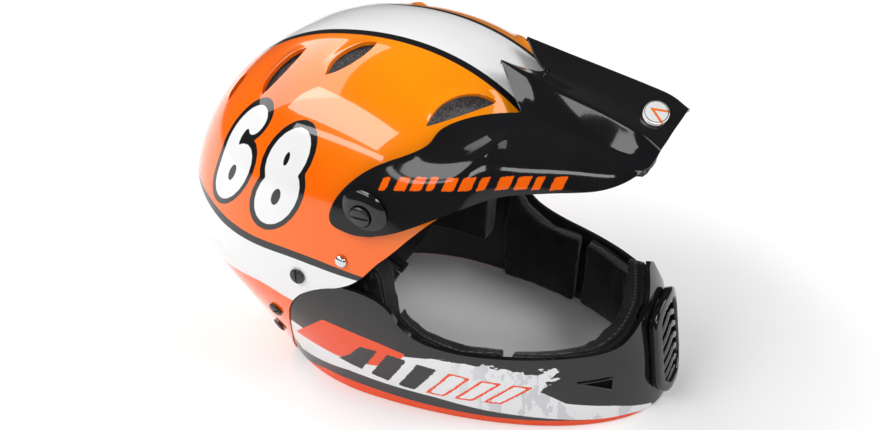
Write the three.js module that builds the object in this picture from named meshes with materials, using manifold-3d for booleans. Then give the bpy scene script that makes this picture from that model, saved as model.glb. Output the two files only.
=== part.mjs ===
// Full-face motocross helmet: painted shell, foam liner, bolt-on chin guard, tilting visor,
// comfort pads and a chin strap with a quick-release buckle.
// Units are millimetres. +X is the wearer's left, -Y the front, +Z up. The helmet stands on z = 0.
import * as THREE from 'three';
import { mergeVertices } from 'three/addons/utils/BufferGeometryUtils.js';
import Module from 'manifold-3d';

const wasm = await Module();
wasm.setup();

// ---- driving dimensions of the outer form ----
const HALF_WIDTH = 107; // shell at its widest
const FULLNESS = 2.37; // exponent of the superellipse sections; 2 would be an ellipse
const DOME_Y = 25; // centre of the dome in side view
const DOME_Z = 90; // height of the widest section
const REAR_RADIUS = 125.5; // side-view radius of the back and crown
const BROW_RADIUS = 143; // side-view radius at the forehead
const RIM_HALF_WIDTH = 88; // plan of the bottom rim
const RIM_REAR = 96;
const RIM_CENTRE_Y = -4.5;
const CHIN_FRONT = -172.5; // foremost point of the chin guard at the rim
const CHIN_LEAN = 19.5; // how far the guard's front leans back by its top
const GUARD_TOP = 92.5;

// ---- wall thicknesses, as depths below the outer form ----
const SHELL = 2.5;
const GUARD_OUTER = 0.9;
const GUARD_INNER = 3.9;
const FLANGE_OUTER = 4.1;
const FLANGE_INNER = 6.2;
const LINER_OUTER = 3.4;
const LINER_INNER = 24;
const PAD_OUTER = 24.8;
const PAD_INNER = 32;

// ---- hardware ----
const VISOR_PIVOT = { y: -12, z: 141 };
const VISOR_GAP = 1.6; // from the shell to the inside of the visor's arms
const VISOR_WALL = 2.6;
const VISOR_SCREW = { head: 6, headHeight: 2.4, shank: 2.6, seat: 105.6, tip: 92 };
const GUARD_SCREWS = [{ y: 30, z: 90 }, { y: 54, z: 52 }, { y: 63, z: 27 }];
const GUARD_SCREW = { head: 4.9, headHeight: 2, shank: 2.1, length: 11 };
const RIVET = { y: 1, z: 108, head: 3.8, shank: 2.2 };
const STRAP = { width: 18, thickness: 1.6, tilt: 25, drop: 104 };

const COLOURS = {
  orange: 0xf58a0a, blackGloss: 0x0a0a0b, blackMatte: 0x17171a, foam: 0x6d6d70,
  cloth: 0x121214, steel: 0xb8babd, screw: 0x1b1b1d, white: 0xeeeeee, red: 0xb3201a,
};

const { abs, sign, sin, cos, hypot, PI } = Math;
const radians = (degrees) => THREE.MathUtils.degToRad(degrees);
const smooth = (from, to, value) => THREE.MathUtils.smoothstep(value, from, to);
const mix = THREE.MathUtils.lerp;

// Facets of the curved surfaces: nested surfaces share one division, so their gaps stay even.
const FORM_DIVISIONS = [36, 20];
const OUTSIDE_DIVISIONS = [44, 24];
const RING_DIVISIONS = [56, 6];
const ROUND = 12; // sides of a small round part

// ================= the outer form =================

// Side-view distance from the dome's centre to its outline, by angle up from the rear.
function sideReach(angle) {
  return mix(REAR_RADIUS, BROW_RADIUS, smooth(80, 155, THREE.MathUtils.radToDeg(angle)));
}

// Horizontal section below the widest level: half width, centre, front, rear and exponent.
function section(z) {
  const level = THREE.MathUtils.clamp(z / DOME_Z, 0, 1);
  const eased = level * level * (3 - 2 * level);
  return {
    halfWidth: mix(RIM_HALF_WIDTH, HALF_WIDTH, eased) + 9 * level * (1 - level) ** 2,
    centreY: mix(RIM_CENTRE_Y, DOME_Y, eased),
    rearY: DOME_Y + REAR_RADIUS - (DOME_Y + REAR_RADIUS - RIM_REAR) * (1 - level) ** 1.25,
    frontY: CHIN_FRONT + CHIN_LEAN * Math.min(1, Math.max(0, z) / 92) ** 1.9,
    rearPower: mix(2, FULLNESS, eased),
  };
}

// 1 on the shell's outer surface, less inside it.
function formLevel(x, y, z) {
  if (z >= DOME_Z) {
    const reach = sideReach(Math.atan2(z - DOME_Z, y - DOME_Y));
    const rho = hypot(y - DOME_Y, z - DOME_Z) / reach;
    return (abs(x / HALF_WIDTH) ** FULLNESS + rho ** FULLNESS) ** (1 / FULLNESS);
  }
  const s = section(z);
  const depth = y > s.centreY ? s.rearY - s.centreY : BROW_RADIUS;
  const p = s.rearPower;
  return (abs(x / s.halfWidth) ** p + abs((y - s.centreY) / depth) ** p) ** (1 / p);
}

function formNormal(point) {
  const step = 0.05;
  const slope = (axis) => {
    const ahead = point.clone().addScaledVector(axis, step);
    const behind = point.clone().addScaledVector(axis, -step);
    return formLevel(ahead.x, ahead.y, ahead.z) - formLevel(behind.x, behind.y, behind.z);
  };
  return new THREE.Vector3(slope(new THREE.Vector3(1, 0, 0)), slope(new THREE.Vector3(0, 1, 0)),
    slope(new THREE.Vector3(0, 0, 1))).normalize();
}

// The point of the left outer surface that side view shows at (y, z).
function sidePoint(y, z) {
  let low = 0;
  let high = HALF_WIDTH + 1;
  for (let i = 0; i < 40; i += 1) {
    const middle = (low + high) / 2;
    if (formLevel(middle, y, z) < 1) low = middle;
    else high = middle;
  }
  return new THREE.Vector3(low, y, z);
}

// ================= solids =================

// A closed manifold solid from a geometry; turned inside out if its faces point in.
function toSolid(geometry) {
  let bare = geometry.index ? geometry.toNonIndexed() : geometry.clone();
  bare.deleteAttribute('normal');
  bare.deleteAttribute('uv');
  bare = mergeVertices(bare, 1e-3);
  const vertProperties = new Float32Array(bare.attributes.position.array);
  const corners = [];
  for (let i = 0; i < bare.index.count; i += 3) {
    const [a, b, c] = [0, 1, 2].map((k) => bare.index.getX(i + k));
    if (a !== b && b !== c && a !== c) corners.push(a, b, c);
  }
  let volume = 0;
  const at = (i) => new THREE.Vector3().fromArray(vertProperties, 3 * i);
  for (let i = 0; i < corners.length; i += 3) {
    volume += at(corners[i]).dot(at(corners[i + 1]).cross(at(corners[i + 2])));
  }
  if (volume < 0) corners.reverse();
  const triVerts = new Uint32Array(corners);
  return new wasm.Manifold(new wasm.Mesh({ numProp: 3, vertProperties, triVerts }));
}

function toGeometry(solid) {
  const mesh = solid.getMesh();
  const geometry = new THREE.BufferGeometry();
  const positions = new Float32Array(mesh.numVert * 3);
  for (let i = 0; i < mesh.numVert; i += 1) {
    for (let k = 0; k < 3; k += 1) positions[3 * i + k] = mesh.vertProperties[i * mesh.numProp + k];
  }
  geometry.setAttribute('position', new THREE.BufferAttribute(positions, 3));
  geometry.setIndex(new THREE.BufferAttribute(new Uint32Array(mesh.triVerts), 1));
  geometry.computeVertexNormals();
  return geometry;
}

// Keeps the largest piece, so that slivers left by a cut don't stay in a part.
function largest(solid) {
  const pieces = solid.decompose();
  pieces.sort((a, b) => b.volume() - a.volume());
  return pieces[0];
}

function shapeOf(points) {
  return new THREE.Shape(points.map(([a, b]) => new THREE.Vector2(a, b)));
}

// A side-view outline (y, z) pushed out along X from x = from to x = to.
function sidePrism(shape, from, to, curveSegments = 6) {
  const geometry = new THREE.ExtrudeGeometry(shape, { depth: to - from, bevelEnabled: false, curveSegments });
  geometry.applyMatrix4(new THREE.Matrix4().makeBasis(
    new THREE.Vector3(0, 1, 0), new THREE.Vector3(0, 0, 1), new THREE.Vector3(1, 0, 0)));
  return toSolid(geometry.translate(from, 0, 0));
}

// A front-view outline (x, z) pushed out along Y from y = from to y = to.
function frontPrism(shape, from, to, curveSegments = 6) {
  const geometry = new THREE.ExtrudeGeometry(shape, { depth: to - from, bevelEnabled: false, curveSegments });
  geometry.applyMatrix4(new THREE.Matrix4().makeBasis(
    new THREE.Vector3(1, 0, 0), new THREE.Vector3(0, 0, 1), new THREE.Vector3(0, -1, 0)));
  return toSolid(geometry.translate(0, to, 0));
}

function block(low, high) {
  const size = new THREE.Vector3().subVectors(high, low);
  const geometry = new THREE.BoxGeometry(size.x, size.y, size.z);
  geometry.translate(low.x + size.x / 2, low.y + size.y / 2, low.z + size.z / 2);
  return toSolid(geometry);
}

// A round bar along X, from x = from to x = to, centred on (y, z).
function barX(radius, from, to, y, z, sides = ROUND) {
  const geometry = new THREE.CylinderGeometry(radius, radius, to - from, sides);
  geometry.rotateZ(-PI / 2).translate((from + to) / 2, y, z);
  return toSolid(geometry);
}

// Turns and moves a solid that was made about the origin with its outward axis along +X.
function place(geometry, point, outward) {
  const turn = new THREE.Quaternion().setFromUnitVectors(new THREE.Vector3(1, 0, 0), outward);
  return geometry.applyQuaternion(turn).translate(point.x, point.y, point.z);
}

function mirrored(geometry) {
  return toGeometry(toSolid(geometry.clone().applyMatrix4(new THREE.Matrix4().makeScale(-1, 1, 1))));
}

// The whole form, shrunk by a depth, as one solid that ends at z = -30.
function formSolid(depth, [around, down] = FORM_DIVISIONS) {
  const geometry = new THREE.SphereGeometry(1, around, down).rotateX(PI / 2);
  const position = geometry.attributes.position;
  const centre = new THREE.Vector3(0, DOME_Y, DOME_Z);
  const floor = -30;
  const ray = new THREE.Vector3();
  for (let i = 0; i < position.count; i += 1) {
    ray.fromBufferAttribute(position, i).normalize();
    let low = 0;
    let high = 300;
    for (let k = 0; k < 40; k += 1) {
      const middle = (low + high) / 2;
      const p = centre.clone().addScaledVector(ray, middle);
      if (p.z > floor && formLevel(p.x, p.y, p.z) < 1) low = middle;
      else high = middle;
    }
    const surface = centre.clone().addScaledVector(ray, low);
    const facing = surface.z < floor + 1 ? 1 : Math.max(0.6, formNormal(surface).dot(ray));
    surface.addScaledVector(ray, -depth / facing);
    position.setXYZ(i, surface.x, surface.y, surface.z);
  }
  return toSolid(geometry);
}

// The chin guard's form, shrunk by a depth, as a stack of horizontal sections from z = -2 to z = 108.
function ringSolid(depth) {
  const geometry = new THREE.CylinderGeometry(1, 1, 1, ...RING_DIVISIONS).rotateX(PI / 2);
  const position = geometry.attributes.position;
  for (let i = 0; i < position.count; i += 1) {
    const z = mix(-2, 108, position.getZ(i) + 0.5);
    const onAxis = hypot(position.getX(i), position.getY(i)) < 0.5;
    const s = section(z);
    const angle = Math.atan2(position.getX(i), -position.getY(i));
    const front = cos(angle) > 0;
    const power = front ? 2 : s.rearPower;
    const reach = front ? s.centreY - s.frontY : s.rearY - s.centreY;
    const x = (s.halfWidth - depth) * sign(sin(angle)) * abs(sin(angle)) ** (2 / power);
    const y = -(reach - depth) * sign(cos(angle)) * abs(cos(angle)) ** (2 / power);
    if (onAxis) position.setXYZ(i, 0, s.centreY, z);
    else position.setXYZ(i, x, s.centreY + y, z);
  }
  return toSolid(geometry);
}

// The wall between two depths of that form, from one height to another.
function band(outer, inner, low, high) {
  const slab = block(new THREE.Vector3(-130, -200, low), new THREE.Vector3(130, 200, high));
  return ringSolid(outer).subtract(ringSolid(inner)).intersect(slab);
}

// ================= outlines in side view =================

// Where the shell ends over the chin guard, from the rim up and forward to the face opening.
const BORDER = [[62, -1], [59.5, 9], [53, 23], [46, 44], [40, 62], [32, 74], [23, 81], [4, 89], [-12, 100]];
// The face opening's edge, on up to the brow.
const EYE_EDGE = [[-20, 110], [-39, 130], [-52, 142], [-70, 153], [-90, 158.5], [-125, 161]];
// The chin guard's top edge, from the border forward.
const GUARD_EDGE = [[3, 89], [-10, 87.5], [-20, 84], [-27, 78], [-33, 68], [-42, 60], [-54, 55.5],
  [-71, 53], [-90, 52.5], [-135, 52.5]];
// The same edge seen from the front, on to the raised beak.
const BEAK_EDGE = [[52, 52.5], [40, 54.5], [31, 60], [22, 67], [14, 74], [8, 83], [4, 91], [1.5, 92.5]];

const shift = (points, dy, dz) => points.map(([y, z]) => [y + dy, z + dz]);

// ================= materials and meshes =================

const parts = [];

function addPart(name, geometry, colour, roughness, metalness = 0) {
  const material = new THREE.MeshStandardMaterial({ color: colour, roughness, metalness });
  const mesh = new THREE.Mesh(geometry, material);
  mesh.name = name;
  parts.push(mesh);
  return mesh;
}

// A left piece and its mirror image on the right.
function addPair(name, geometry, colour, roughness, metalness = 0) {
  addPart(`${name}_left`, geometry, colour, roughness, metalness);
  addPart(`${name}_right`, mirrored(geometry), colour, roughness, metalness);
}

// ================= vents =================

// A vent is a spindle between two points of the surface, cut straight in.
// over and under: how far its two edges bow out to the rear and to the front.
const VENTS = [
  { from: [62, 34, 199], to: [34, 15, 213], over: 5.6, under: 5.6 },
  { from: [70, 73, 181], to: [42, 57, 204], over: 4.3, under: 4.3 },
  { from: [60, 105, 167], to: [47, 97, 183], over: 2.3, under: 2.3 },
  { from: [70, -34, 185.5], to: [35, -62, 192], over: 9.5, under: 1.5 },
];

// side: 1 for the vent on the left, -1 for its mirror image.
function ventCutter(vent, side, depth) {
  const from = new THREE.Vector3(side * vent.from[0], vent.from[1], vent.from[2]);
  const to = new THREE.Vector3(side * vent.to[0], vent.to[1], vent.to[2]);
  const middle = from.clone().add(to).multiplyScalar(0.5);
  const along = to.clone().sub(from);
  const half = along.length() / 2;
  along.normalize();
  const outward = formNormal(middle).addScaledVector(along, -formNormal(middle).dot(along)).normalize();
  const across = new THREE.Vector3().crossVectors(outward, along);
  // A Bezier arch rises to three quarters of its control points.
  const front = side * vent.under / 0.75;
  const rear = -side * vent.over / 0.75;
  const outline = new THREE.Shape();
  outline.moveTo(-half, 0);
  outline.bezierCurveTo(-half * 0.5, front, half * 0.5, front, half, 0);
  outline.bezierCurveTo(half * 0.5, rear, -half * 0.5, rear, -half, 0);
  const geometry = new THREE.ExtrudeGeometry(outline, { depth: depth + 20, bevelEnabled: false, curveSegments: 5 });
  geometry.translate(0, 0, -depth);
  geometry.applyMatrix4(new THREE.Matrix4().makeBasis(along, across, outward));
  return toSolid(geometry.translate(middle.x, middle.y, middle.z));
}

// Cuts every vent, on both sides, to a depth below the surface.
function cutVents(solid, depth) {
  let cut = solid;
  for (const vent of VENTS) {
    for (const side of [1, -1]) cut = cut.subtract(ventCutter(vent, side, depth));
  }
  return cut;
}

// ================= screws, nuts and rivets =================

const guardScrewSites = GUARD_SCREWS.map(({ y, z }) => {
  const point = sidePoint(y, z);
  return { point, outward: formNormal(point) };
});

function mirrorSite(site) {
  const flip = new THREE.Vector3(-1, 1, 1);
  return { point: site.point.clone().multiply(flip), outward: site.outward.clone().multiply(flip) };
}

// A bar about a screw's own axis: from and to are distances along the outward direction.
function siteBar(site, radius, from, to, sides = ROUND) {
  const geometry = new THREE.CylinderGeometry(radius, radius, to - from, sides).rotateZ(-PI / 2);
  return toSolid(place(geometry.translate((from + to) / 2, 0, 0), site.point, site.outward));
}

// A slotted screw about the origin: its head's underside at x = 0 and its shank towards -X.
function screwGeometry(head, headHeight, shank, length) {
  const profile = [[0, -length], [shank, -length], [shank, 0.001], [head, 0.001], [head, headHeight * 0.55],
    [head * 0.86, headHeight], [0, headHeight]];
  const turned = new THREE.LatheGeometry(profile.map(([r, h]) => new THREE.Vector2(r, h)), ROUND);
  const slot = new THREE.BoxGeometry(headHeight, 1.3, head * 1.75).translate(headHeight, 0, 0);
  return toGeometry(toSolid(turned.rotateZ(-PI / 2)).subtract(toSolid(slot)));
}

// A flanged nut about the origin: its face at x = 0, its barrel towards -X, open from end to end.
function nutGeometry(flange, barrel, bore, length) {
  const profile = [[bore, 0], [flange, 0], [flange, -1.4], [barrel, -1.4], [barrel, -length], [bore, -length], [bore, 0]];
  return toGeometry(toSolid(new THREE.LatheGeometry(profile.map(([r, h]) => new THREE.Vector2(r, h)), ROUND).rotateZ(-PI / 2)));
}

function visorHoles(solid, radius, from) {
  const { y, z } = VISOR_PIVOT;
  return solid.subtract(barX(radius, from, 130, y, z)).subtract(barX(radius, -130, -from, y, z));
}

function rivetHoles(solid, radius) {
  return solid.subtract(barX(radius, 80, 120, RIVET.y, RIVET.z)).subtract(barX(radius, -120, -80, RIVET.y, RIVET.z));
}

function guardHoles(solid, radius, depth) {
  let drilled = solid;
  for (const site of guardScrewSites) {
    for (const own of [site, mirrorSite(site)]) drilled = drilled.subtract(siteBar(own, radius, -depth, 8));
  }
  return drilled;
}

function addHardware() {
  const black = [COLOURS.screw, 0.35];
  const visorScrew = screwGeometry(VISOR_SCREW.head, VISOR_SCREW.headHeight, VISOR_SCREW.shank,
    VISOR_SCREW.seat - VISOR_SCREW.tip);
  addPair('visor_screw', visorScrew.translate(VISOR_SCREW.seat + 0.3, VISOR_PIVOT.y, VISOR_PIVOT.z), ...black);
  const visorNut = nutGeometry(6.5, 4.4, 3, 9).translate(93.4, VISOR_PIVOT.y, VISOR_PIVOT.z);
  addPair('visor_nut', visorNut, COLOURS.steel, 0.3, 0.9);
  guardScrewSites.forEach((site, i) => {
    const lifted = site.point.clone().addScaledVector(site.outward, 0.35);
    const screw = screwGeometry(GUARD_SCREW.head, GUARD_SCREW.headHeight, GUARD_SCREW.shank, GUARD_SCREW.length);
    addPair(`guard_screw_${i + 1}`, place(screw, lifted, site.outward), ...black);
    const nutFace = site.point.clone().addScaledVector(site.outward, -(FLANGE_INNER + 1));
    addPair(`guard_nut_${i + 1}`, place(nutGeometry(5.4, 3.6, 2.5, 5), nutFace, site.outward), COLOURS.steel, 0.3, 0.9);
  });
}

function addRivets() {
  const outside = sidePoint(RIVET.y, RIVET.z).x + 0.5;
  const dome = [[0, 2.2], [RIVET.head * 0.55, 1.85], [RIVET.head * 0.88, 1], [RIVET.head, 0]];
  const inner = [[RIVET.shank, 0], [RIVET.shank, -9.2], [4.6, -9.2], [4.6, -10.4], [0, -10.4]];
  const profile = [...dome, ...inner].map(([r, h]) => new THREE.Vector2(r, h));
  const rivet = toGeometry(toSolid(new THREE.LatheGeometry(profile, ROUND).rotateZ(-PI / 2)));
  addPair('strap_rivet', rivet.translate(outside, RIVET.y, RIVET.z), COLOURS.steel, 0.2, 1);
}

// ================= shell and liner =================

function addShell() {
  let shell = formSolid(0, OUTSIDE_DIVISIONS).subtract(formSolid(SHELL));
  shell = shell.subtract(block(new THREE.Vector3(-150, -200, -60), new THREE.Vector3(150, 200, 0)));
  const opening = shapeOf([[62, -40], ...BORDER, ...EYE_EDGE, [-200, 161], [-200, -40]]);
  shell = shell.subtract(sidePrism(opening, -130, 130));
  shell = cutVents(shell, 12);
  shell = rivetHoles(guardHoles(visorHoles(shell, 3, 85), 2.5, 12), 2.6);
  addPart('outer_shell', toGeometry(largest(shell)), COLOURS.orange, 0.15);
}

function addLiner() {
  const edge = [[-200, 166], [-90, 163.5], [-70, 158], [-48, 146], [-28, 128], [-14, 112], [10, 108],
    [42, 107], [66, 86], [112, 56], [200, 56], [200, -60], [-200, -60]];
  let liner = formSolid(LINER_OUTER).subtract(formSolid(LINER_INNER));
  liner = liner.subtract(sidePrism(shapeOf(edge), -130, 130));
  // The liner is hollowed by a few millimetres under each vent.
  liner = cutVents(liner, 9);
  for (const side of [1, -1]) {
    const nutPocket = barX(7.5, 80, 110, VISOR_PIVOT.y, VISOR_PIVOT.z);
    const strapSlot = block(new THREE.Vector3(88, RIVET.y - 14, 90), new THREE.Vector3(112, RIVET.y + 18, 124));
    const cut = nutPocket.add(strapSlot);
    liner = liner.subtract(side > 0 ? cut : toSolid(toGeometry(cut).applyMatrix4(new THREE.Matrix4().makeScale(-1, 1, 1))));
  }
  addPart('eps_liner', toGeometry(largest(liner)), COLOURS.foam, 0.9);
}

// ================= chin guard and what it carries =================

// Everything above the guard's top edge, by as much as is asked.
function aboveGuard(drop) {
  const side = GUARD_EDGE.map(([y, z]) => [y, z - drop]);
  const front = BEAK_EDGE.map(([x, z]) => [x, z - drop]);
  const sideCut = sidePrism(shapeOf([[90, 89 - drop], ...side, [-135, 140], [90, 140]]), -130, 130);
  const rightHalf = [...front].reverse().map(([x, z]) => [-x, z]);
  const frontCut = frontPrism(shapeOf([[130, 52.5 - drop], ...front, ...rightHalf, [-130, 52.5 - drop],
    [-130, 140], [130, 140]]), -200, -112);
  const cheeks = block(new THREE.Vector3(-130, -114, 0), new THREE.Vector3(130, 200, 150));
  return sideCut.intersect(cheeks).add(frontCut);
}

const MOUTH = { z: 39.5, halfWidth: 14, halfHeight: 25, corner: 11 };

function roundedRect(halfWidth, halfHeight, corner, centre) {
  const shape = new THREE.Shape();
  shape.absarc(halfWidth - corner, centre + halfHeight - corner, corner, 0, PI / 2);
  shape.absarc(-halfWidth + corner, centre + halfHeight - corner, corner, PI / 2, PI);
  shape.absarc(-halfWidth + corner, centre - halfHeight + corner, corner, PI, 1.5 * PI);
  shape.absarc(halfWidth - corner, centre - halfHeight + corner, corner, 1.5 * PI, 2 * PI);
  return shape;
}

function addGuard() {
  const rearOfVisible = shift(BORDER.slice(0, 8), -0.5, -0.4);
  const visible = shapeOf([[-200, -1], ...rearOfVisible, [-2, 92], [-10, 100], [-200, 100]]);
  const flange = shapeOf([...shift(BORDER.slice(0, 7), -9, 0), [6, 80], [0, 86], [0, 92], [12, 103], [38, 103],
    [60, 78], [74, 40], [82, -1]]);
  const visiblePrism = sidePrism(visible, -130, 130);
  const flangePrism = sidePrism(flange, -130, 130);
  let guard = band(GUARD_OUTER, GUARD_INNER, 0, 98).intersect(visiblePrism);
  // The wall is thicker where it steps in from the visible skin to the flange under the shell.
  guard = guard.add(band(GUARD_OUTER, FLANGE_INNER, 0, 98).intersect(visiblePrism).intersect(flangePrism));
  guard = guard.subtract(aboveGuard(0));
  guard = guard.add(band(FLANGE_OUTER, FLANGE_INNER, 0, 104).intersect(flangePrism));
  guard = guardHoles(guard, 2.5, 12);
  const mouth = roundedRect(MOUTH.halfWidth, MOUTH.halfHeight, MOUTH.corner, MOUTH.z);
  guard = guard.subtract(frontPrism(mouth, -200, -120));
  addPart('chin_guard', toGeometry(largest(guard)), COLOURS.blackGloss, 0.12);
}

// The grille's frame and slats are one moulding that sits on the guard's curved front.
function addGrille() {
  const edge = roundedRect(21, 31.5, 15, MOUTH.z);
  const window = roundedRect(14.5, 24.5, 11, MOUTH.z);
  let face = frontPrism(edge, -190, -130).subtract(frontPrism(window, -191, -129));
  const rise = 5;
  for (let i = -3; i <= 3; i += 1) {
    const z = MOUTH.z - 3 + i * 8;
    const chevron = shapeOf([[-17, z - rise], [0, z + rise * 0.6], [17, z - rise], [17, z - rise + 3.2],
      [0, z + rise * 0.6 + 3.2], [-17, z - rise + 3.2]]);
    face = face.add(frontPrism(chevron, -190, -130).intersect(frontPrism(roundedRect(15, 25, 11, MOUTH.z), -190, -130)));
  }
  const grille = band(-5.8, GUARD_OUTER - 0.35, 0, 90).intersect(face);
  addPart('mouth_grille', toGeometry(largest(grille)), COLOURS.blackGloss, 0.2);
  const filter = band(GUARD_INNER + 0.4, GUARD_INNER + 4.4, 0, 90)
    .intersect(frontPrism(roundedRect(19, 29, 8, MOUTH.z), -190, -130));
  addPart('mouth_filter', toGeometry(filter), COLOURS.blackMatte, 0.95);
}

function addChinPads() {
  const body = band(GUARD_INNER + 0.4, 17, 2.5, 98).subtract(aboveGuard(1.2));
  const sides = shapeOf([[-88, 0], [-31, 0], [-24, 40], [-31, 100], [-88, 100]]);
  const side = body.intersect(sidePrism(sides, 20, 130));
  addPair('chin_pad', toGeometry(largest(side)), COLOURS.cloth, 0.9);
  const frontShape = shapeOf([[-200, 0], [-91, 0], [-91, 100], [-200, 100]]);
  const pocket = frontPrism(roundedRect(20, 30, 8, MOUTH.z), -190, -100);
  const front = body.intersect(sidePrism(frontShape, -130, 130)).subtract(pocket.intersect(band(0, GUARD_INNER + 4.8, 0, 98)));
  addPart('chin_pad_front', toGeometry(largest(front)), COLOURS.cloth, 0.9);
}

// ================= pads =================

function lining(outer, inner, low, high) {
  return formSolid(outer).subtract(formSolid(inner)).intersect(block(low, high));
}

function addPads() {
  const pad = (name, solid) => addPart(name, toGeometry(largest(solid)), COLOURS.cloth, 0.9);
  const v = (x, y, z) => new THREE.Vector3(x, y, z);
  pad('brow_pad', lining(PAD_OUTER, PAD_INNER, v(-58, -130, 164), v(58, -40, 184)));
  pad('crown_pad', lining(PAD_OUTER, PAD_INNER, v(-42, -30, 150), v(42, 72, 230)));
  pad('rear_pad', lining(PAD_OUTER, PAD_INNER, v(-55, 85, 84), v(55, 160, 132)));
  const temple = lining(PAD_OUTER, PAD_INNER, v(40, -16, 112), v(110, 66, 156));
  addPair('temple_pad', toGeometry(largest(temple)), COLOURS.cloth, 0.9);

  const cheekOutline = new THREE.Shape();
  cheekOutline.moveTo(-20, 34);
  cheekOutline.lineTo(30, 34);
  cheekOutline.quadraticCurveTo(44, 60, 36, 84);
  cheekOutline.quadraticCurveTo(24, 100, 4, 101);
  cheekOutline.quadraticCurveTo(-14, 100, -16, 88);
  cheekOutline.lineTo(-20, 34);
  let cheek = band(13.2, 34, 20, 102).intersect(sidePrism(cheekOutline, 20, 130, 4));
  // The strap runs down a channel in the pad's outer side, wide enough for its swing.
  const channel = shapeOf([[-10, 104], [-8, 90], [6, 30], [56, 30], [26, 90], [16, 104]]);
  cheek = cheek.subtract(band(8, 17, 20, 110).intersect(sidePrism(channel, 20, 130)));
  addPair('cheek_pad', toGeometry(largest(cheek)), COLOURS.cloth, 0.9);

  const roll = formSolid(SHELL + 1).subtract(formSolid(15)).intersect(block(v(-120, 85, 1.5), v(120, 150, 46)));
  pad('neck_roll', roll);
}

// ================= visor =================

// Half sections of the visor from its lower edge over the flank, valley and crest to the centre line.
// Each row is one station: points (x, y, z).
const VISOR_STATIONS = [
  [[78, -82, 157.5], [77, -82, 166], [71, -82, 176], [62, -82, 183], [50, -82, 187], [38, -82, 189],
    [30, -82, 197], [22.7, -82, 205], [10, -83, 200.5], [0, -84, 198.8]],
  [[66, -106, 160], [64.5, -106, 167], [60, -106, 174.5], [53, -106, 180], [45, -106, 183], [37, -106, 184.5],
    [31, -106, 191], [25.3, -106, 199], [11, -106, 196], [0, -106, 194.7]],
  [[54, -130, 161.5], [52.5, -130, 167], [49.5, -130, 172], [45.5, -130, 175.5], [41, -130, 177.5],
    [36.5, -130, 179], [32.5, -130, 184.5], [27.9, -130, 192.8], [12.5, -130, 191], [0, -130, 190.4]],
  [[47.5, -144, 168], [46.5, -145, 171], [45, -145, 173.5], [43, -145, 175.5], [40.5, -145, 177],
    [37.5, -145, 178.5], [34, -145, 182], [30, -145, 188], [13, -145, 187], [0, -145, 186.3]],
  [[44.5, -150.5, 174.5], [43.5, -152, 175.5], [42, -153, 176.5], [40.5, -153.8, 177.5], [38.5, -154.3, 178.3],
    [36, -154.8, 179.2], [33, -155.2, 180.4], [29.5, -155.5, 181.8], [13, -155.2, 180.8], [0, -154.5, 180.2]],
];
// The visor's rear edge, from the arm's end round to the notch between the two prongs.
// at: which point of a station it runs forward to. side: on the shell, so x follows the shell.
const VISOR_REAR = [
  { at: 0, side: [8, 131] }, { at: 0.7, side: [8, 140] }, { at: 1.4, side: [2, 152] },
  { at: 2, side: [-12, 165] }, { at: 2.6, side: [-27, 171] }, { at: 3.2, side: [-41, 177] },
  { at: 3.7, point: [72, -40.5, 187] }, { at: 4.4, point: [52, -59.5, 192] }, { at: 5, point: [37, -77, 189.8] },
  { at: 6, point: [27.5, -66, 198.5] }, { at: 7, point: [20.5, -56, 211.5] },
  { at: 8, point: [10, -66, 204] }, { at: 9, point: [0, -77, 199.8] },
];
// The arm's lower edge between its rear end and the first station.
const VISOR_LOWER = [[8, 131], [-9, 127.5], [-28, 132], [-46, 141], [-63, 150], [-82, 157.5]];

function stationPoint(station, at) {
  const points = VISOR_STATIONS[station];
  const low = Math.min(points.length - 2, Math.floor(at));
  return new THREE.Vector3(...points[low]).lerp(new THREE.Vector3(...points[low + 1]), at - low);
}

// A point on the shell's side, lifted off it by a height.
function onShell(y, z, height) {
  const point = sidePoint(y, z);
  return point.addScaledVector(formNormal(point), height);
}

const LIFT = VISOR_GAP + VISOR_WALL;

// The points of one rail before the first station.
function armPoints(rail) {
  const end = stationPoint(0, rail.at);
  const points = [];
  const steps = 5;
  if (rail.point) {
    const start = new THREE.Vector3(...rail.point);
    for (let i = 0; i < steps; i += 1) points.push(start.clone().lerp(end, i / steps));
    return points;
  }
  const shellEnd = onShell(end.y, end.z, LIFT);
  const extra = end.x - shellEnd.x;
  for (let i = 0; i < steps; i += 1) {
    const t = i / steps;
    const [y, z] = rail.at === 0 ? VISOR_LOWER[i] : [mix(rail.side[0], end.y, t), mix(rail.side[1], end.z, t)];
    const point = onShell(y, z, LIFT);
    point.x += extra * t ** 3;
    points.push(point);
  }
  return points;
}

// A grid of points over the left half: one row per rail, from the lower edge to the centre line.
function visorGrid(samples) {
  return VISOR_REAR.map((rail) => {
    const points = armPoints(rail);
    for (let s = 0; s < VISOR_STATIONS.length; s += 1) points.push(stationPoint(s, rail.at));
    const curve = new THREE.CatmullRomCurve3(points, false, 'centripetal');
    return Array.from({ length: samples + 1 }, (_, i) => curve.getPoint(i / samples));
  });
}

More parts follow.
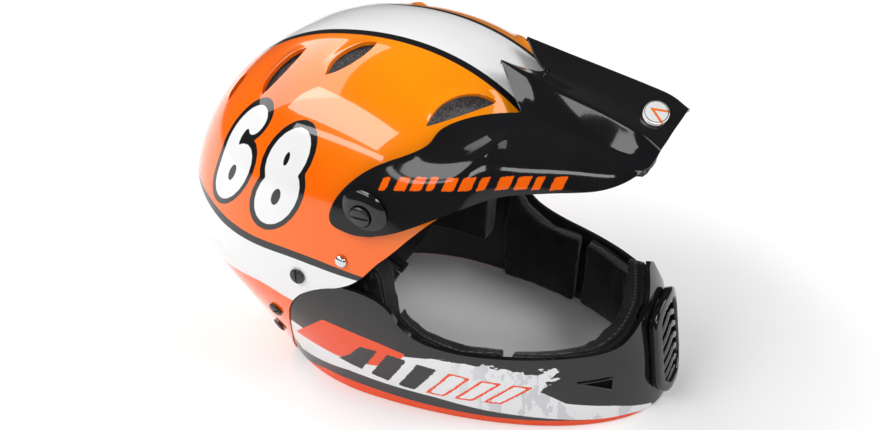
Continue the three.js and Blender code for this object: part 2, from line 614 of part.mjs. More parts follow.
function addVisor() {
  const samples = 12;
  const half = visorGrid(samples);
  const rows = [...half.map((row) => row.map((p) => p.clone())),
    ...half.slice(0, -1).reverse().map((row) => row.map((p) => new THREE.Vector3(-p.x, p.y, p.z)))];
  const lines = rows.length - 1;
  const normals = rows.map((row, i) => row.map((_, j) => {
    const along = rows[i][Math.min(samples, j + 1)].clone().sub(rows[i][Math.max(0, j - 1)]);
    const across = rows[Math.min(lines, i + 1)][j].clone().sub(rows[Math.max(0, i - 1)][j]);
    return across.cross(along).normalize();
  }));
  const geometry = new THREE.BoxGeometry(1, 1, 1, samples, lines, 1);
  const position = geometry.attributes.position;
  for (let k = 0; k < position.count; k += 1) {
    const j = Math.round((position.getX(k) + 0.5) * samples);
    const i = Math.round((position.getY(k) + 0.5) * lines);
    const inner = position.getZ(k) < 0;
    const point = rows[i][j].clone();
    const outward = normals[i][j].clone();
    if (outward.dot(point.clone().sub(new THREE.Vector3(0, -40, 110))) < 0) outward.negate();
    if (inner) point.addScaledVector(outward, -VISOR_WALL);
    position.setXYZ(k, point.x, point.y, point.z);
  }
  let visor = toSolid(geometry);
  const { y, z } = VISOR_PIVOT;
  const boss = barX(8.5, 102.7, VISOR_SCREW.seat, y, z);
  const seat = barX(7.2, VISOR_SCREW.seat, 125, y, z);
  const bossRight = barX(8.5, -VISOR_SCREW.seat, -102.7, y, z);
  const seatRight = barX(7.2, -125, -VISOR_SCREW.seat, y, z);
  visor = visor.add(boss).add(bossRight).subtract(seat).subtract(seatRight);
  visor = visorHoles(visor, 3, 85);
  addPart('visor', toGeometry(largest(visor)), COLOURS.blackGloss, 0.12);

  const badge = new THREE.CylinderGeometry(1, 1, 1.2, 28).scale(14.2, 1, 7.3);
  badge.rotateX(PI / 2).rotateX(radians(22)).translate(0, -143.6, 189);
  addPart('visor_badge', badge, COLOURS.white, 0.25);
}

// ================= chin strap =================
// The strap hangs in a plane through both rivets that leans back by STRAP.tilt. In that plane's own
// frame +X is left and -Z runs down the strap; the pieces are made there and turned as one group.

const STRAP_PATH = [[98.6, 8], [98.6, -2], [98, -22], [95, -42], [90, -60], [82, -78], [72, -91.5],
  [60, -100.5], [48, -104], [36, -104], [27.6, -104]];

function strapGeometry(points) {
  const curve = new THREE.CatmullRomCurve3(points.map(([x, z]) => new THREE.Vector3(x, z, 0)), false, 'centripetal');
  const steps = 22;
  const outer = [];
  const inner = [];
  for (let i = 0; i <= steps; i += 1) {
    const at = curve.getPoint(i / steps);
    const along = curve.getTangent(i / steps);
    const half = STRAP.thickness / 2;
    outer.push([at.x - along.y * half, at.y + along.x * half]);
    inner.push([at.x + along.y * half, at.y - along.x * half]);
  }
  const shape = shapeOf([...outer, ...inner.reverse()]);
  const geometry = new THREE.ExtrudeGeometry(shape, { depth: STRAP.width, bevelEnabled: false });
  geometry.rotateX(PI / 2).translate(0, STRAP.width / 2, 0);
  return toGeometry(toSolid(geometry).subtract(barX(2.6, -120, 120, 0, 0)));
}

function strapBlock(low, high) {
  return block(new THREE.Vector3(...low), new THREE.Vector3(...high));
}

function addStrap() {
  const group = new THREE.Group();
  group.position.set(0, RIVET.y, RIVET.z);
  group.rotation.x = radians(STRAP.tilt);
  const level = -STRAP.drop;
  const own = (name, geometry, colour, roughness) => {
    group.add(new THREE.Mesh(geometry, new THREE.MeshStandardMaterial({ color: colour, roughness })));
    group.children.at(-1).name = name;
  };
  own('strap_left', strapGeometry(STRAP_PATH), COLOURS.cloth, 0.9);
  const rightPath = STRAP_PATH.map(([x, z]) => [-x, z]);
  rightPath[rightPath.length - 1] = [-23.2, level];
  own('strap_right', strapGeometry(rightPath), COLOURS.cloth, 0.9);

  const socket = strapBlock([-2, -13, level - 4.5], [27.2, 13, level + 4.5])
    .subtract(strapBlock([-3, -9.6, level - 1.9], [17.4, 9.6, level + 1.9]))
    .subtract(strapBlock([5, -5.4, level - 5], [15, 5.4, level]));
  own('buckle_socket', toGeometry(socket), COLOURS.blackMatte, 0.4);
  own('buckle_button', toGeometry(strapBlock([5.4, -5, level - 5.2], [14.6, 5, level - 2.4])), COLOURS.red, 0.4);
  const plug = strapBlock([-22.8, -13, level - 3.6], [-2.4, 13, level + 3.6])
    .add(strapBlock([-3, -9.2, level - 0.1], [16.6, 9.2, level + 1.5]));
  own('buckle_plug', toGeometry(plug), COLOURS.blackMatte, 0.4);
  const slider = strapBlock([36, -12.5, level - 3], [43, 12.5, level + 3])
    .subtract(strapBlock([35, -9.6, level - 1.3], [44, 9.6, level + 1.3]));
  own('strap_slider', toGeometry(slider), COLOURS.blackMatte, 0.4);
  return group;
}

// ================= assembly =================

addShell();
addLiner();
addGuard();
addGrille();
addChinPads();
addVisor();
addHardware();
addRivets();
addPads();

const helmet = new THREE.Group();
helmet.add(...parts, addStrap());

// The row's origin is the middle of the base, below the centre of the bounding box.
helmet.updateMatrixWorld(true);
const extent = new THREE.Box3().setFromObject(helmet, true);
helmet.position.y = -(extent.min.y + extent.max.y) / 2;
helmet.updateMatrixWorld(true);

export default helmet;
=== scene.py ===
"""Looks of the motocross helmet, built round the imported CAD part.

Numbers are millimetres in the same frame as part.mjs: x = 0 is the plane of symmetry, +X the wearer's
left, -Y the front, z = 0 the table. to_row() moves them into the row frame, in metres.
"""
import math

import bmesh
import bpy
import numpy as np
from mathutils import Matrix, Vector


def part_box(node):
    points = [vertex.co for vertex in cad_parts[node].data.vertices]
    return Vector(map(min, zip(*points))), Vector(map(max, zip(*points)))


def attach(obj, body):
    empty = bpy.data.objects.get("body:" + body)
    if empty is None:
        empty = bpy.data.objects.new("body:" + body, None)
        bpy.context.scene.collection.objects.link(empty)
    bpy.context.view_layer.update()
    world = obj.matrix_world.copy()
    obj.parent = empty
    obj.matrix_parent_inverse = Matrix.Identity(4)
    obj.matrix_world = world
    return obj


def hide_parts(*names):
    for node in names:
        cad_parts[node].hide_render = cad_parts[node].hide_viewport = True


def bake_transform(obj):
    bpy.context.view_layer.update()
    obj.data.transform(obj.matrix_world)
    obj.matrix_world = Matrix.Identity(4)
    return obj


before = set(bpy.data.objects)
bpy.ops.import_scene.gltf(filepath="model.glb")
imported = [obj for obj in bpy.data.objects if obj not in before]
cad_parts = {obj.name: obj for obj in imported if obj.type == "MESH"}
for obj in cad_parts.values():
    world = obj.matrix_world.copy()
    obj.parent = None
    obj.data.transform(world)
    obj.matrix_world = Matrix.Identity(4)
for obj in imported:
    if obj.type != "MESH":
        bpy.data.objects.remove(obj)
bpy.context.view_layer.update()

low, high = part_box("visor_screw_left")
PIVOT = (-12.0, 141.0)  # side-view place of the visor screws
DY = (low[1] + high[1]) * 500 - PIVOT[0]  # the row frame's origin lies this far behind ours


def to_row(points):
    points = np.asarray(points, float)
    return (points + (0, DY, 0)) / 1000


def row(x, y, z):
    return Vector(to_row((x, y, z)))


# ---------------------------------------------------------------- camera, light, floor

def make_camera():
    camera = bpy.data.objects.new("camera", bpy.data.cameras.new("camera"))
    bpy.context.collection.objects.link(camera)
    right = Vector((0.42857, -0.90327, 0.02098))
    up = Vector((0.45003, 0.23354, 0.86194))
    back = right.cross(up)
    turn = Matrix((right, up, back)).transposed().to_4x4()
    camera.matrix_world = Matrix.Translation(row(-561.69, -270.93, 450.22)) @ turn
    camera.data.lens = 44.93
    camera.data.sensor_width = 36
    camera.data.clip_start = 0.02
    bpy.context.scene.camera = camera


def softbox(name, place, aim, size, watts):
    light = bpy.data.lights.new(name, "AREA")
    light.shape = "RECTANGLE"
    light.size, light.size_y = size
    light.energy = watts
    lamp = bpy.data.objects.new(name, light)
    bpy.context.collection.objects.link(lamp)
    lamp.location = place
    lamp.rotation_euler = (Vector(aim) - Vector(place)).to_track_quat("-Z", "Y").to_euler()


def make_studio():
    bpy.context.scene.view_settings.view_transform = "Standard"
    world = bpy.data.worlds.new("studio")
    bpy.context.scene.world = world
    world.use_nodes = True
    world.node_tree.nodes["Background"].inputs[0].default_value = (1, 1, 1, 1)
    world.node_tree.nodes["Background"].inputs[1].default_value = 0.06
    middle = (0, 0, 0.12)
    softbox("key", (-1.46, 1.10, 1.98), middle, (2.2, 0.86), 42)
    softbox("key_strip", (-1.90, 0.98, 1.40), middle, (1.7, 0.16), 6)
    softbox("front", (-2.0, -1.15, 1.32), middle, (1.0, 0.34), 10)
    softbox("back", (0.3, 2.0, 1.9), middle, (2.6, 1.9), 50)
    softbox("far", (0.9, -1.9, 1.7), middle, (2.4, 1.8), 52)
    bm = bmesh.new()
    bmesh.ops.create_grid(bm, x_segments=8, y_segments=8, size=3)
    mesh = bpy.data.meshes.new("floor")
    bm.to_mesh(mesh)
    floor = bpy.data.objects.new("floor", mesh)
    floor.location.z = -0.0004
    bpy.context.collection.objects.link(floor)
    mesh.materials.append(plain_material("floor", (0.93, 0.93, 0.93), 0.7))


# ---------------------------------------------------------------- shader nodes

class Shader:
    """A small builder of material nodes. Sockets and numbers can both be given as values."""

    def __init__(self, name):
        self.material = bpy.data.materials.new(name)
        self.material.use_nodes = True
        self.nodes = self.material.node_tree.nodes
        self.links = self.material.node_tree.links
        self.surface = self.nodes["Principled BSDF"]

    def put(self, socket, value):
        if isinstance(value, bpy.types.NodeSocket):
            self.links.new(value, socket)
        elif isinstance(value, (tuple, list)) and len(value) == 3 and socket.type == "RGBA":
            socket.default_value = (*value, 1)
        else:
            socket.default_value = value

    def set(self, **values):
        for name, value in values.items():
            self.put(self.surface.inputs[name.replace("_", " ")], value)

    def math(self, operation, a, b=0.0, c=0.0):
        node = self.nodes.new("ShaderNodeMath")
        node.operation = operation
        for socket, value in zip(node.inputs, (a, b, c)):
            self.put(socket, value)
        return node.outputs[0]

    def attribute(self, name):
        node = self.nodes.new("ShaderNodeAttribute")
        node.attribute_name = name
        return node.outputs["Fac"]

    def coordinate(self):
        return self.nodes.new("ShaderNodeTexCoord").outputs["Object"]

    def axis(self, which):
        node = self.nodes.new("ShaderNodeSeparateXYZ")
        self.links.new(self.coordinate(), node.inputs[0])
        return node.outputs[which]

    def noise(self, scale, detail=2.0, roughness=0.5, stretch=None):
        node = self.nodes.new("ShaderNodeTexNoise")
        vector = self.coordinate()
        if stretch:
            mapping = self.nodes.new("ShaderNodeMapping")
            mapping.inputs["Scale"].default_value = stretch
            self.links.new(vector, mapping.inputs["Vector"])
            vector = mapping.outputs[0]
        self.links.new(vector, node.inputs["Vector"])
        self.put(node.inputs["Scale"], scale)
        self.put(node.inputs["Detail"], detail)
        self.put(node.inputs["Roughness"], roughness)
        return node.outputs["Fac"]

    def cells(self, scale, feature="F1"):
        node = self.nodes.new("ShaderNodeTexVoronoi")
        node.feature = feature
        self.links.new(self.coordinate(), node.inputs["Vector"])
        self.put(node.inputs["Scale"], scale)
        return node.outputs["Distance"]

    def remap(self, value, start, end, low=0.0, high=1.0):
        node = self.nodes.new("ShaderNodeMapRange")
        for socket, number in zip(node.inputs, (value, start, end, low, high)):
            self.put(socket, number)
        return node.outputs[0]

    def mix(self, factor, a, b):
        node = self.nodes.new("ShaderNodeMix")
        node.data_type = "RGBA"
        self.put(node.inputs["Factor"], factor)
        self.put(node.inputs[6], a)
        self.put(node.inputs[7], b)
        return node.outputs[2]

    def below(self, value, edge=0.0, soft=0.15):
        """1 where a value in millimetres is under an edge, with a crisp border."""
        return self.remap(value, edge - soft, edge + soft, 1.0, 0.0)

    def bump(self, height, distance, strength=1.0):
        node = self.nodes.new("ShaderNodeBump")
        node.inputs["Distance"].default_value = distance
        node.inputs["Strength"].default_value = strength
        self.links.new(height, node.inputs["Height"])
        self.links.new(node.outputs[0], self.surface.inputs["Normal"])


def plain_material(name, colour, roughness):
    shader = Shader(name)
    tone = shader.remap(shader.noise(3.0), 0.3, 0.7, 0.985, 1.0)
    shader.set(Base_Color=shader.mix(tone, tuple(c * 0.97 for c in colour), colour), Roughness=roughness)
    return shader.material


def black_plastic(s):
    """Polished injection-moulded black: faint waviness, dust-fine scuffs. Gives its colour and roughness."""
    scuff = s.remap(s.noise(900, 3, 0.6, (1, 1, 3)), 0.45, 0.8, 0.05, 0.15)
    s.bump(s.noise(160, 1.0), 0.00005, 0.35)
    return s.mix(s.noise(40), (0.006, 0.006, 0.007), (0.011, 0.011, 0.012)), scuff


def gloss_black(name):
    s = Shader(name)
    black, scuff = black_plastic(s)
    s.set(Base_Color=black, Roughness=scuff)
    return s.material


def matte_black(name, roughness=0.45):
    """Satin moulded nylon with a fine spark-eroded grain."""
    s = Shader(name)
    s.set(Base_Color=s.mix(s.noise(300), (0.012, 0.012, 0.013), (0.022, 0.022, 0.024)),
          Roughness=s.remap(s.noise(800), 0.3, 0.7, roughness - 0.08, roughness + 0.1))
    s.bump(s.noise(2600, 2.0), 0.00008, 0.5)
    return s.material


def cloth_black():
    """Brushed knitted cloth: small cells, fuzz and a soft sheen, with a sewn seam and its stitches, and
    painted shade darkening the seam's groove.
    """
    s = Shader("padding")
    knit = s.cells(900)
    fuzz = s.noise(2200, 3, 0.7)
    from_seam = s.attribute("seam")
    groove_and_shade = s.remap(s.math("ABSOLUTE", from_seam), 0.3, 1.5)
    run = s.math("ADD", s.math("ADD", s.axis("X"), s.axis("Y")), s.axis("Z"))
    dash = s.remap(s.math("SINE", s.math("MULTIPLY", run, 1900)), -0.3, 0.1)
    beside = s.below(s.math("ABSOLUTE", s.math("SUBTRACT", from_seam, 2.4)), 0.35, 0.12)
    stitch = s.math("MULTIPLY", dash, beside)
    cloth = s.mix(s.remap(s.noise(60, 3), 0.3, 0.7), (0.0084, 0.0084, 0.0084), (0.018, 0.018, 0.0192))
    # painted shade: the cloth is darkened along the seam's groove, where shade falls
    cloth = s.mix(groove_and_shade, (0.0036, 0.0036, 0.0036), cloth)
    s.set(Base_Color=s.mix(stitch, cloth, (0.07, 0.07, 0.072)), Roughness=0.95, Sheen_Weight=0.25,
          Sheen_Roughness=0.4, Specular_IOR_Level=0.2)
    weave = s.math("ADD", s.math("MULTIPLY", knit, 1.4), fuzz)
    sewn = s.math("ADD", s.math("MULTIPLY", groove_and_shade, 3.0), stitch)
    s.bump(s.math("ADD", weave, sewn), 0.0004, 0.7)
    return s.material


def foam_grey():
    """Expanded bead foam: packed beads a few millimetres across with dark joints and dark specks."""
    s = Shader("foam")
    joint = s.remap(s.cells(760, "DISTANCE_TO_EDGE"), 0.0, 0.16)
    speck = s.remap(s.cells(1300), 0.12, 0.3)
    grey = s.mix(s.remap(s.noise(900, 2, 0.7), 0.35, 0.65), (0.10, 0.10, 0.105), (0.34, 0.34, 0.35))
    shade = s.mix(joint, (0.09, 0.09, 0.092), grey)
    s.set(Base_Color=s.mix(speck, (0.03, 0.03, 0.03), shade), Roughness=0.85, Specular_IOR_Level=0.3)
    s.bump(joint, 0.0005, 0.6)
    return s.material


def plated_steel():
    s = Shader("steel")
    s.set(Base_Color=s.mix(s.noise(120), (0.55, 0.56, 0.57), (0.72, 0.72, 0.73)), Metallic=1.0,
          Roughness=s.remap(s.noise(700, 3), 0.3, 0.8, 0.12, 0.32))
    s.bump(s.noise(1500), 0.00004, 0.3)
    return s.material


def webbing():
    """Woven polyester: ribs across the strap and a twill along it."""
    s = Shader("webbing")
    across = s.math("SINE", s.math("MULTIPLY", s.attribute("along"), 4.2))
    ribs = s.math("SINE", s.math("MULTIPLY", s.attribute("across"), 5.5))
    weave = s.math("MULTIPLY", across, ribs)
    s.set(Base_Color=s.mix(s.remap(weave, -1, 1), (0.008, 0.008, 0.009), (0.03, 0.03, 0.033)), Roughness=0.8,
          Sheen_Weight=0.2)
    s.bump(weave, 0.0003, 0.6)
    return s.material


# ---------------------------------------------------------------- the outer form

HALF_WIDTH, FULLNESS = 107.0, 2.37
DOME = np.array((0.0, 25.0, 90.0))
REAR_RADIUS, BROW_RADIUS = 125.5, 143.0
RIM_HALF_WIDTH, RIM_REAR, RIM_CENTRE_Y = 88.3, 96.0, -4.5
CHIN_FRONT, CHIN_LEAN = -172.5, 19.5

# Walls, as the depth of the outside below the outer form and the thickness.
SHELL_WALL = 2.5
LINER_DEPTH, LINER_WALL = 3.4, 20.4
GUARD_DEPTH, GUARD_WALL = 0.9, 3.0
FLANGE_DEPTH, FLANGE_WALL = 4.2, 2.0
FILTER_DEPTH, FILTER_WALL = 4.4, 3.8
VISOR_WALL = 2.3


def smooth(t):
    t = np.clip(t, 0, 1)
    return t * t * (3 - 2 * t)


def lerp(a, b, t):
    return a + (b - a) * t


def section(z):
    """Half width, centre y, rear y, front y and rear exponent of the horizontal section at a height."""
    s = np.clip(z / DOME[2], 0, 1)
    half = lerp(RIM_HALF_WIDTH, HALF_WIDTH, smooth(s)) + 9 * s * (1 - s) ** 2
    centre = lerp(RIM_CENTRE_Y, DOME[1], smooth(s))
    rear_end = DOME[1] + REAR_RADIUS
    rear = rear_end - (rear_end - RIM_REAR) * (1 - s) ** 1.25
    front = CHIN_FRONT + CHIN_LEAN * np.clip(z / 92, 0, 1) ** 1.9
    return half, centre, rear, front, lerp(2.0, FULLNESS, smooth(s))


def form_level(p):
    """1 on the shell's outer surface, less inside it."""
    x, y, z = np.abs(p[..., 0]), p[..., 1], p[..., 2]
    angle = np.degrees(np.arctan2(z - DOME[2], y - DOME[1]))
    reach = lerp(REAR_RADIUS, BROW_RADIUS, smooth((angle - 80) / 75))
    rho = np.hypot(y - DOME[1], z - DOME[2]) / reach
    upper = ((x / HALF_WIDTH) ** FULLNESS + rho ** FULLNESS) ** (1 / FULLNESS)
    half, centre, rear, _, power = section(z)
    deep = np.where(y > centre, rear - centre, BROW_RADIUS)
    lower = ((x / half) ** power + (np.abs(y - centre) / deep) ** power) ** (1 / power)
    return np.where(z >= DOME[2], upper, lower)


def gradient(function, p, step=0.05):
    out = np.empty_like(p)
    for k in range(3):
        move = np.zeros(3)
        move[k] = step
        out[..., k] = (function(p + move) - function(p - move)) / (2 * step)
    return out


def unit(v):
    return v / np.maximum(np.linalg.norm(v, axis=-1, keepdims=True), 1e-12)


def form_normal(p):
    return unit(gradient(form_level, p))


def bisect(inside, start, end):
    """How far from start towards end the form reaches, for many rays at once."""
    for _ in range(30):
        middle = (start + end) / 2
        within = inside(middle)
        start, end = np.where(within, middle, start), np.where(within, end, middle)
    return start


def cast(directions):
    """Where rays from the dome's centre meet the outer form."""
    near = np.zeros(len(directions))
    reach = bisect(lambda r: form_level(DOME + directions * r[:, None]) < 1, near, near + 260)
    return DOME + directions * reach[:, None]


def side_point(y, z):
    """Points of the left outer surface that side view shows at (y, z)."""
    y, z = np.broadcast_arrays(np.asarray(y, float), np.asarray(z, float))
    middle = np.zeros(y.shape)
    x = bisect(lambda x: form_level(np.stack((x, y, z), -1)) < 1, middle, middle + HALF_WIDTH + 1)
    return np.stack((x, y, z), -1)


# ---------------------------------------------------------------- outlines

# Side-view outlines as (y, z): the joint of shell and guard, the face opening, and the guard's top.
BORDER = [(61.6, 0), (59.5, 9), (53, 23), (46, 44), (40, 62), (32, 74), (23, 81), (13, 86), (4, 89), (-5, 94),
          (-12, 100)]
EYE_EDGE = [(-20, 110), (-29, 119), (-39, 130), (-52, 142), (-70, 153), (-90, 158.5), (-125, 161)]
GUARD_EDGE = [(3, 89), (-10, 87.5), (-20, 84), (-27, 78), (-33, 68), (-42, 60), (-54, 55.5), (-71, 53),
              (-90, 52.5)]
# The guard's top from the front, as (sideways, z).
BEAK_EDGE = [(60, 52.5), (50, 52.6), (40, 54.5), (31, 60), (22, 67), (14, 74), (8, 83), (4, 90), (0, 92.3)]


def curve(points, step=1.5):
    """Catmull-Rom curve through points, sampled about every step."""
    points = np.asarray(points, float)
    ends = [2 * points[0] - points[1], *points, 2 * points[-1] - points[-2]]
    out = []
    for a, b, c, d in zip(ends, ends[1:], ends[2:], ends[3:]):
        count = max(2, int(np.linalg.norm(np.subtract(c, b)) / step))
        for t in np.arange(count) / count:
            out.append(0.5 * (2 * b + (c - a) * t + (2 * a - 5 * b + 4 * c - d) * t * t
                              + (3 * b - a - 3 * c + d) * t ** 3))
    out.append(points[-1])
    return np.array(out)


def segment_distance(points, a, b):
    edge, to = b - a, points - a
    t = np.clip((to @ edge) / max(edge @ edge, 1e-12), 0, 1)
    return np.linalg.norm(to - t[:, None] * edge, axis=1)


def polygon_distance(points, outline):
    """Distance from 2-D points to a closed outline, negative inside it."""
    outline = np.asarray(outline, float)
    best = np.full(len(points), 1e9)
    inside = np.zeros(len(points), bool)
    for a, b in zip(outline, np.roll(outline, -1, axis=0)):
        best = np.minimum(best, segment_distance(points, a, b))
        crosses = (a[1] > points[:, 1]) != (b[1] > points[:, 1])
        if a[1] != b[1]:
            at = a[0] + (points[:, 1] - a[1]) * (b[0] - a[0]) / (b[1] - a[1])
            inside ^= crosses & (points[:, 0] < at)
    return np.where(inside, -best, best)


def path_distance(points, path):
    """Distance from 2-D points to an open path."""
    best = np.full(len(points), 1e9)
    for a, b in zip(path[:-1], path[1:]):
        best = np.minimum(best, segment_distance(points, a, b))
    return best


# ---------------------------------------------------------------- surfaces and meshes

def clip(verts, faces, keep, project):
    """Cuts a surface along keep(points) = 0 and leaves the side where it is positive."""
    value = keep(verts)
    inside = value > 0
    cut = {}
    sides = []
    out = []
    for face in faces:
        kept = [inside[v] for v in face]
        if all(kept):
            out.append(face)
            continue
        if not any(kept):
            continue
        new = []
        for i, a in enumerate(face):
            b = face[(i + 1) % len(face)]
            if inside[a]:
                new.append(a)
            if inside[a] != inside[b]:
                key = (a, b) if a < b else (b, a)
                if key not in cut:
                    cut[key] = len(verts) + len(sides)
                    sides.append(key)
                new.append(cut[key])
        out.append(tuple(new))
    if sides:
        a, b = (np.array([s[k] for s in sides]) for k in (0, 1))
        t = value[a] / (value[a] - value[b])
        for _ in range(3):
            points = lerp(verts[a], verts[b], t[:, None])
            slope = value[b] - value[a]
            t = np.clip(t - keep(project(points)) / slope, 0.001, 0.999)
        verts = np.vstack((verts, project(lerp(verts[a], verts[b], t[:, None]))))
    used = np.unique(np.concatenate([np.array(f) for f in out]))
    index = np.full(len(verts), -1)
    index[used] = np.arange(len(used))
    return verts[used], [tuple(int(index[v]) for v in f) for f in out]


def borders(faces):
    """Directed edges that only one face uses."""
    edges = set()
    for face in faces:
        for i, a in enumerate(face):
            edges.add((a, face[(i + 1) % len(face)]))
    return [(a, b) for a, b in edges if (b, a) not in edges]


def thicken(verts, faces, normals, wall):
    """A closed wall: the surface, its copy further in, and a rim. Tags: 0 outside, 1 inside, 2 rim."""
    count = len(verts)
    inner = verts - normals * wall
    out = list(faces)
    tags = [0] * len(faces)
    out += [tuple(v + count for v in reversed(face)) for face in faces]
    tags += [1] * len(faces)
    rim = borders(faces)
    out += [(b, a, a + count, b + count) for a, b in rim]
    tags += [2] * len(rim)
    return np.vstack((verts, inner)), out, tags, np.vstack((normals, -normals))


def grid_faces(rows, columns, wrap=False):
    """Quads of a grid of points stored row by row; wrap joins the last column to the first."""
    faces = []
    for i in range(rows - 1):
        for j in range(columns if wrap else columns - 1):
            k = (j + 1) % columns
            faces.append((i * columns + j, i * columns + k, (i + 1) * columns + k, (i + 1) * columns + j))
    return faces


def tube_faces(rows, columns, closed=False):
    """Faces of a tube of rings, whose ends are joined to each other or capped."""
    faces = grid_faces(rows, columns, wrap=True)
    last = (rows - 1) * columns
    if closed:
        return faces + [(last + j, last + (j + 1) % columns, (j + 1) % columns, j) for j in range(columns)]
    return faces + [tuple(reversed(range(columns))), tuple(range(last, last + columns))]


def make_object(name, verts, faces, materials, tags=None, slots=(0, 0, 0), normals=None, smooth_angle=None):
    """An object from design-frame points. Given normals shade the faces tagged 0 and 1."""
    mesh = bpy.data.meshes.new(name)
    mesh.from_pydata(to_row(verts).tolist(), [], faces)
    for material in materials:
        mesh.materials.append(material)
    piece = bpy.data.objects.new(name, mesh)
    bpy.context.collection.objects.link(piece)
    mesh.polygons.foreach_set("use_smooth", [True] * len(faces))
    if tags is not None:
        mesh.polygons.foreach_set("material_index", [slots[t] for t in tags])
    if normals is not None:
        loops = np.empty((len(mesh.loops), 3))
        for polygon, tag in zip(mesh.polygons, tags):
            for k in polygon.loop_indices:
                loops[k] = polygon.normal if tag == 2 else normals[mesh.loops[k].vertex_index]
        mesh.normals_split_custom_set(loops.tolist())
    elif smooth_angle is not None:
        mesh.set_sharp_from_angle(angle=math.radians(smooth_angle))
    return piece


def set_attribute(piece, name, values):
    layer = piece.data.attributes.new(name, "FLOAT", "POINT")
    layer.data.foreach_set("value", np.asarray(values, np.float32))


def stand_for(piece, node, body):
    """Hides the CAD node that a piece replaces, if any, and attaches the piece to the body it rides on."""
    if node:
        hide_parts(node)
    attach(piece, body)


def shade(mesh, angle):
    """Smooth shading with sharp edges over an angle in degrees."""
    mesh.polygons.foreach_set("use_smooth", [True] * len(mesh.polygons))
    mesh.set_sharp_from_angle(angle=math.radians(angle))


def apply_modifiers(piece):
    graph = bpy.context.evaluated_depsgraph_get()
    mesh = bpy.data.meshes.new_from_object(piece.evaluated_get(graph))
    piece.modifiers.clear()
    piece.data = mesh


def design_points(piece):
    points = np.empty(len(piece.data.vertices) * 3)
    piece.data.vertices.foreach_get("co", points)
    return points.reshape(-1, 3) * 1000 - (0, DY, 0)


def form_surface(depth, spacing):
    """The outer form, or a copy further in, as a grid from the crown down below the rim."""
    girth, radius, fall = 720, 118, math.radians(142)
    around = int(girth / spacing)
    down = int(fall * radius / spacing)
    azimuth = np.arange(around) * 2 * np.pi / around
    polar = np.linspace(0.002, fall, down)
    a, p = np.meshgrid(azimuth, polar)
    rays = np.stack((np.sin(p) * np.cos(a), np.sin(p) * np.sin(a), np.cos(p)), -1).reshape(-1, 3)
    points = form_project(depth)(DOME + rays)
    faces = [tuple(reversed(f)) for f in grid_faces(down, around, wrap=True)]
    faces.append(tuple(range(around)))
    return points, faces


def form_project(depth):
    def project(points):
        surface = cast(unit(points - DOME))
        return surface - form_normal(surface) * depth
    return project


# ---------------------------------------------------------------- shell

# Vents: both ends on the surface, how far the opening bows to the rear and to the front, and its lip's
# height.
VENTS = [((62, 34, 199), (34, 15, 213), 5.6, 5.6, 1.4), ((70, 73, 181), (42, 57, 204), 4.3, 4.3, 1.4),
         ((60, 105, 167), (47, 97, 183), 2.3, 2.3, 0.8), ((70, -34, 185.5), (35, -62, 192), 9.5, 1.5, 1.8)]


def vent_frames():
    frames = []
    for start, end, over, under, lip in VENTS:
        start, end = np.array(start, float), np.array(end, float)
        middle = (start + end) / 2
        along = unit(end - start)
        outward = form_normal(middle[None])[0]
        outward = unit(outward - along * (outward @ along))
        across = np.cross(along, outward)
        half = np.linalg.norm(end - start) / 2
        t = np.linspace(0, 1, 20)
        bow = 4 * t * (1 - t)
        x = half * (-(1 - t) ** 3 - 1.5 * t * (1 - t) ** 2 + 1.5 * t * t * (1 - t) + t ** 3)
        outline = np.vstack((np.stack((x, bow * over), 1), np.stack((x, -bow * under), 1)[::-1][1:-1]))
        frames.append((middle, along, across, half, outline, lip))
    return frames


VENT_FRAMES = vent_frames()


def vent_distance(points):
    """Signed distance to the nearest vent, negative inside, and how high its lip stands."""
    best = np.full(len(points), 99.0)
    brow = np.zeros(len(points))
    folded = np.column_stack((np.abs(points[:, 0]), points[:, 1:]))
    for middle, along, across, half, outline, lip in VENT_FRAMES:
        near = np.linalg.norm(folded - middle, axis=1) < half + 16
        if not near.any():
            continue
        local = folded[near] - middle
        flat = np.stack((local @ along, local @ across), 1)
        distance = polygon_distance(flat, outline)
        closer = distance < best[near]
        height = lip * smooth(flat[:, 1] / 3.0 + 0.2) * (1 - smooth((np.abs(flat[:, 0]) / half - 0.55) / 0.5))
        best[near] = np.where(closer, distance, best[near])
        brow[near] = np.where(closer, height, brow[near])
    return best, brow


def lip_height(points):
    """The moulded brow over each vent's rear edge."""
    distance, brow = vent_distance(points)
    return brow * np.exp(-(np.maximum(distance, 0) / 4.5) ** 2)


def shell_project(points):
    surface = cast(unit(points - DOME))
    return surface + form_normal(surface) * lip_height(surface)[:, None]


def shell_normal(points):
    normal = form_normal(points)
    slope = gradient(lip_height, points, 0.4)
    slope -= normal * (slope * normal).sum(1)[:, None]
    return unit(normal - slope)


def shell_keep(points):
    """Positive where the shell is: above the table and outside the face opening."""
    edge = np.vstack((curve(BORDER), curve(EYE_EDGE)))
    opening = [(62, -400), *edge, (-220, 161), (-220, -400)]
    return polygon_distance(points[:, 1:], opening)


def make_shell():
    verts, faces = form_surface(0, 1.5)
    verts = shell_project(verts)
    verts, faces = clip(verts, faces, lambda p: p[:, 2], shell_project)
    verts, faces = clip(verts, faces, shell_keep, shell_project)
    verts, faces = clip(verts, faces, lambda p: vent_distance(p)[0], shell_project)
    normals = shell_normal(verts)
    verts, faces, tags, normals = thicken(verts, faces, normals, SHELL_WALL)
    shell = make_object("shell_skin", verts, faces, [shell_paint(), raw_shell()], tags, (0, 1, 0), normals)
    paint_shell(shell)
    stand_for(shell, "outer_shell", "shell")


# Lower belt on the shell's side, as (y, z): the black pinstripe's edges and the orange wedge's top.
BELT_TOP = [(150, 121), (125, 119), (105, 115), (92, 111.5), (80, 109), (63, 107), (37, 106.5), (18, 105),
            (4, 103), (-12, 100.5)]
BELT_LOW = [(150, 120), (123, 116), (105, 110), (86, 104.5), (64, 102), (37, 101.5), (19, 100), (5, 98.5),
            (-12, 97)]
WEDGE_TOP = [(150, 60), (112, 69), (93, 72), (75, 74), (61, 74.5), (50, 72.5), (38, 69), (20, 66)]


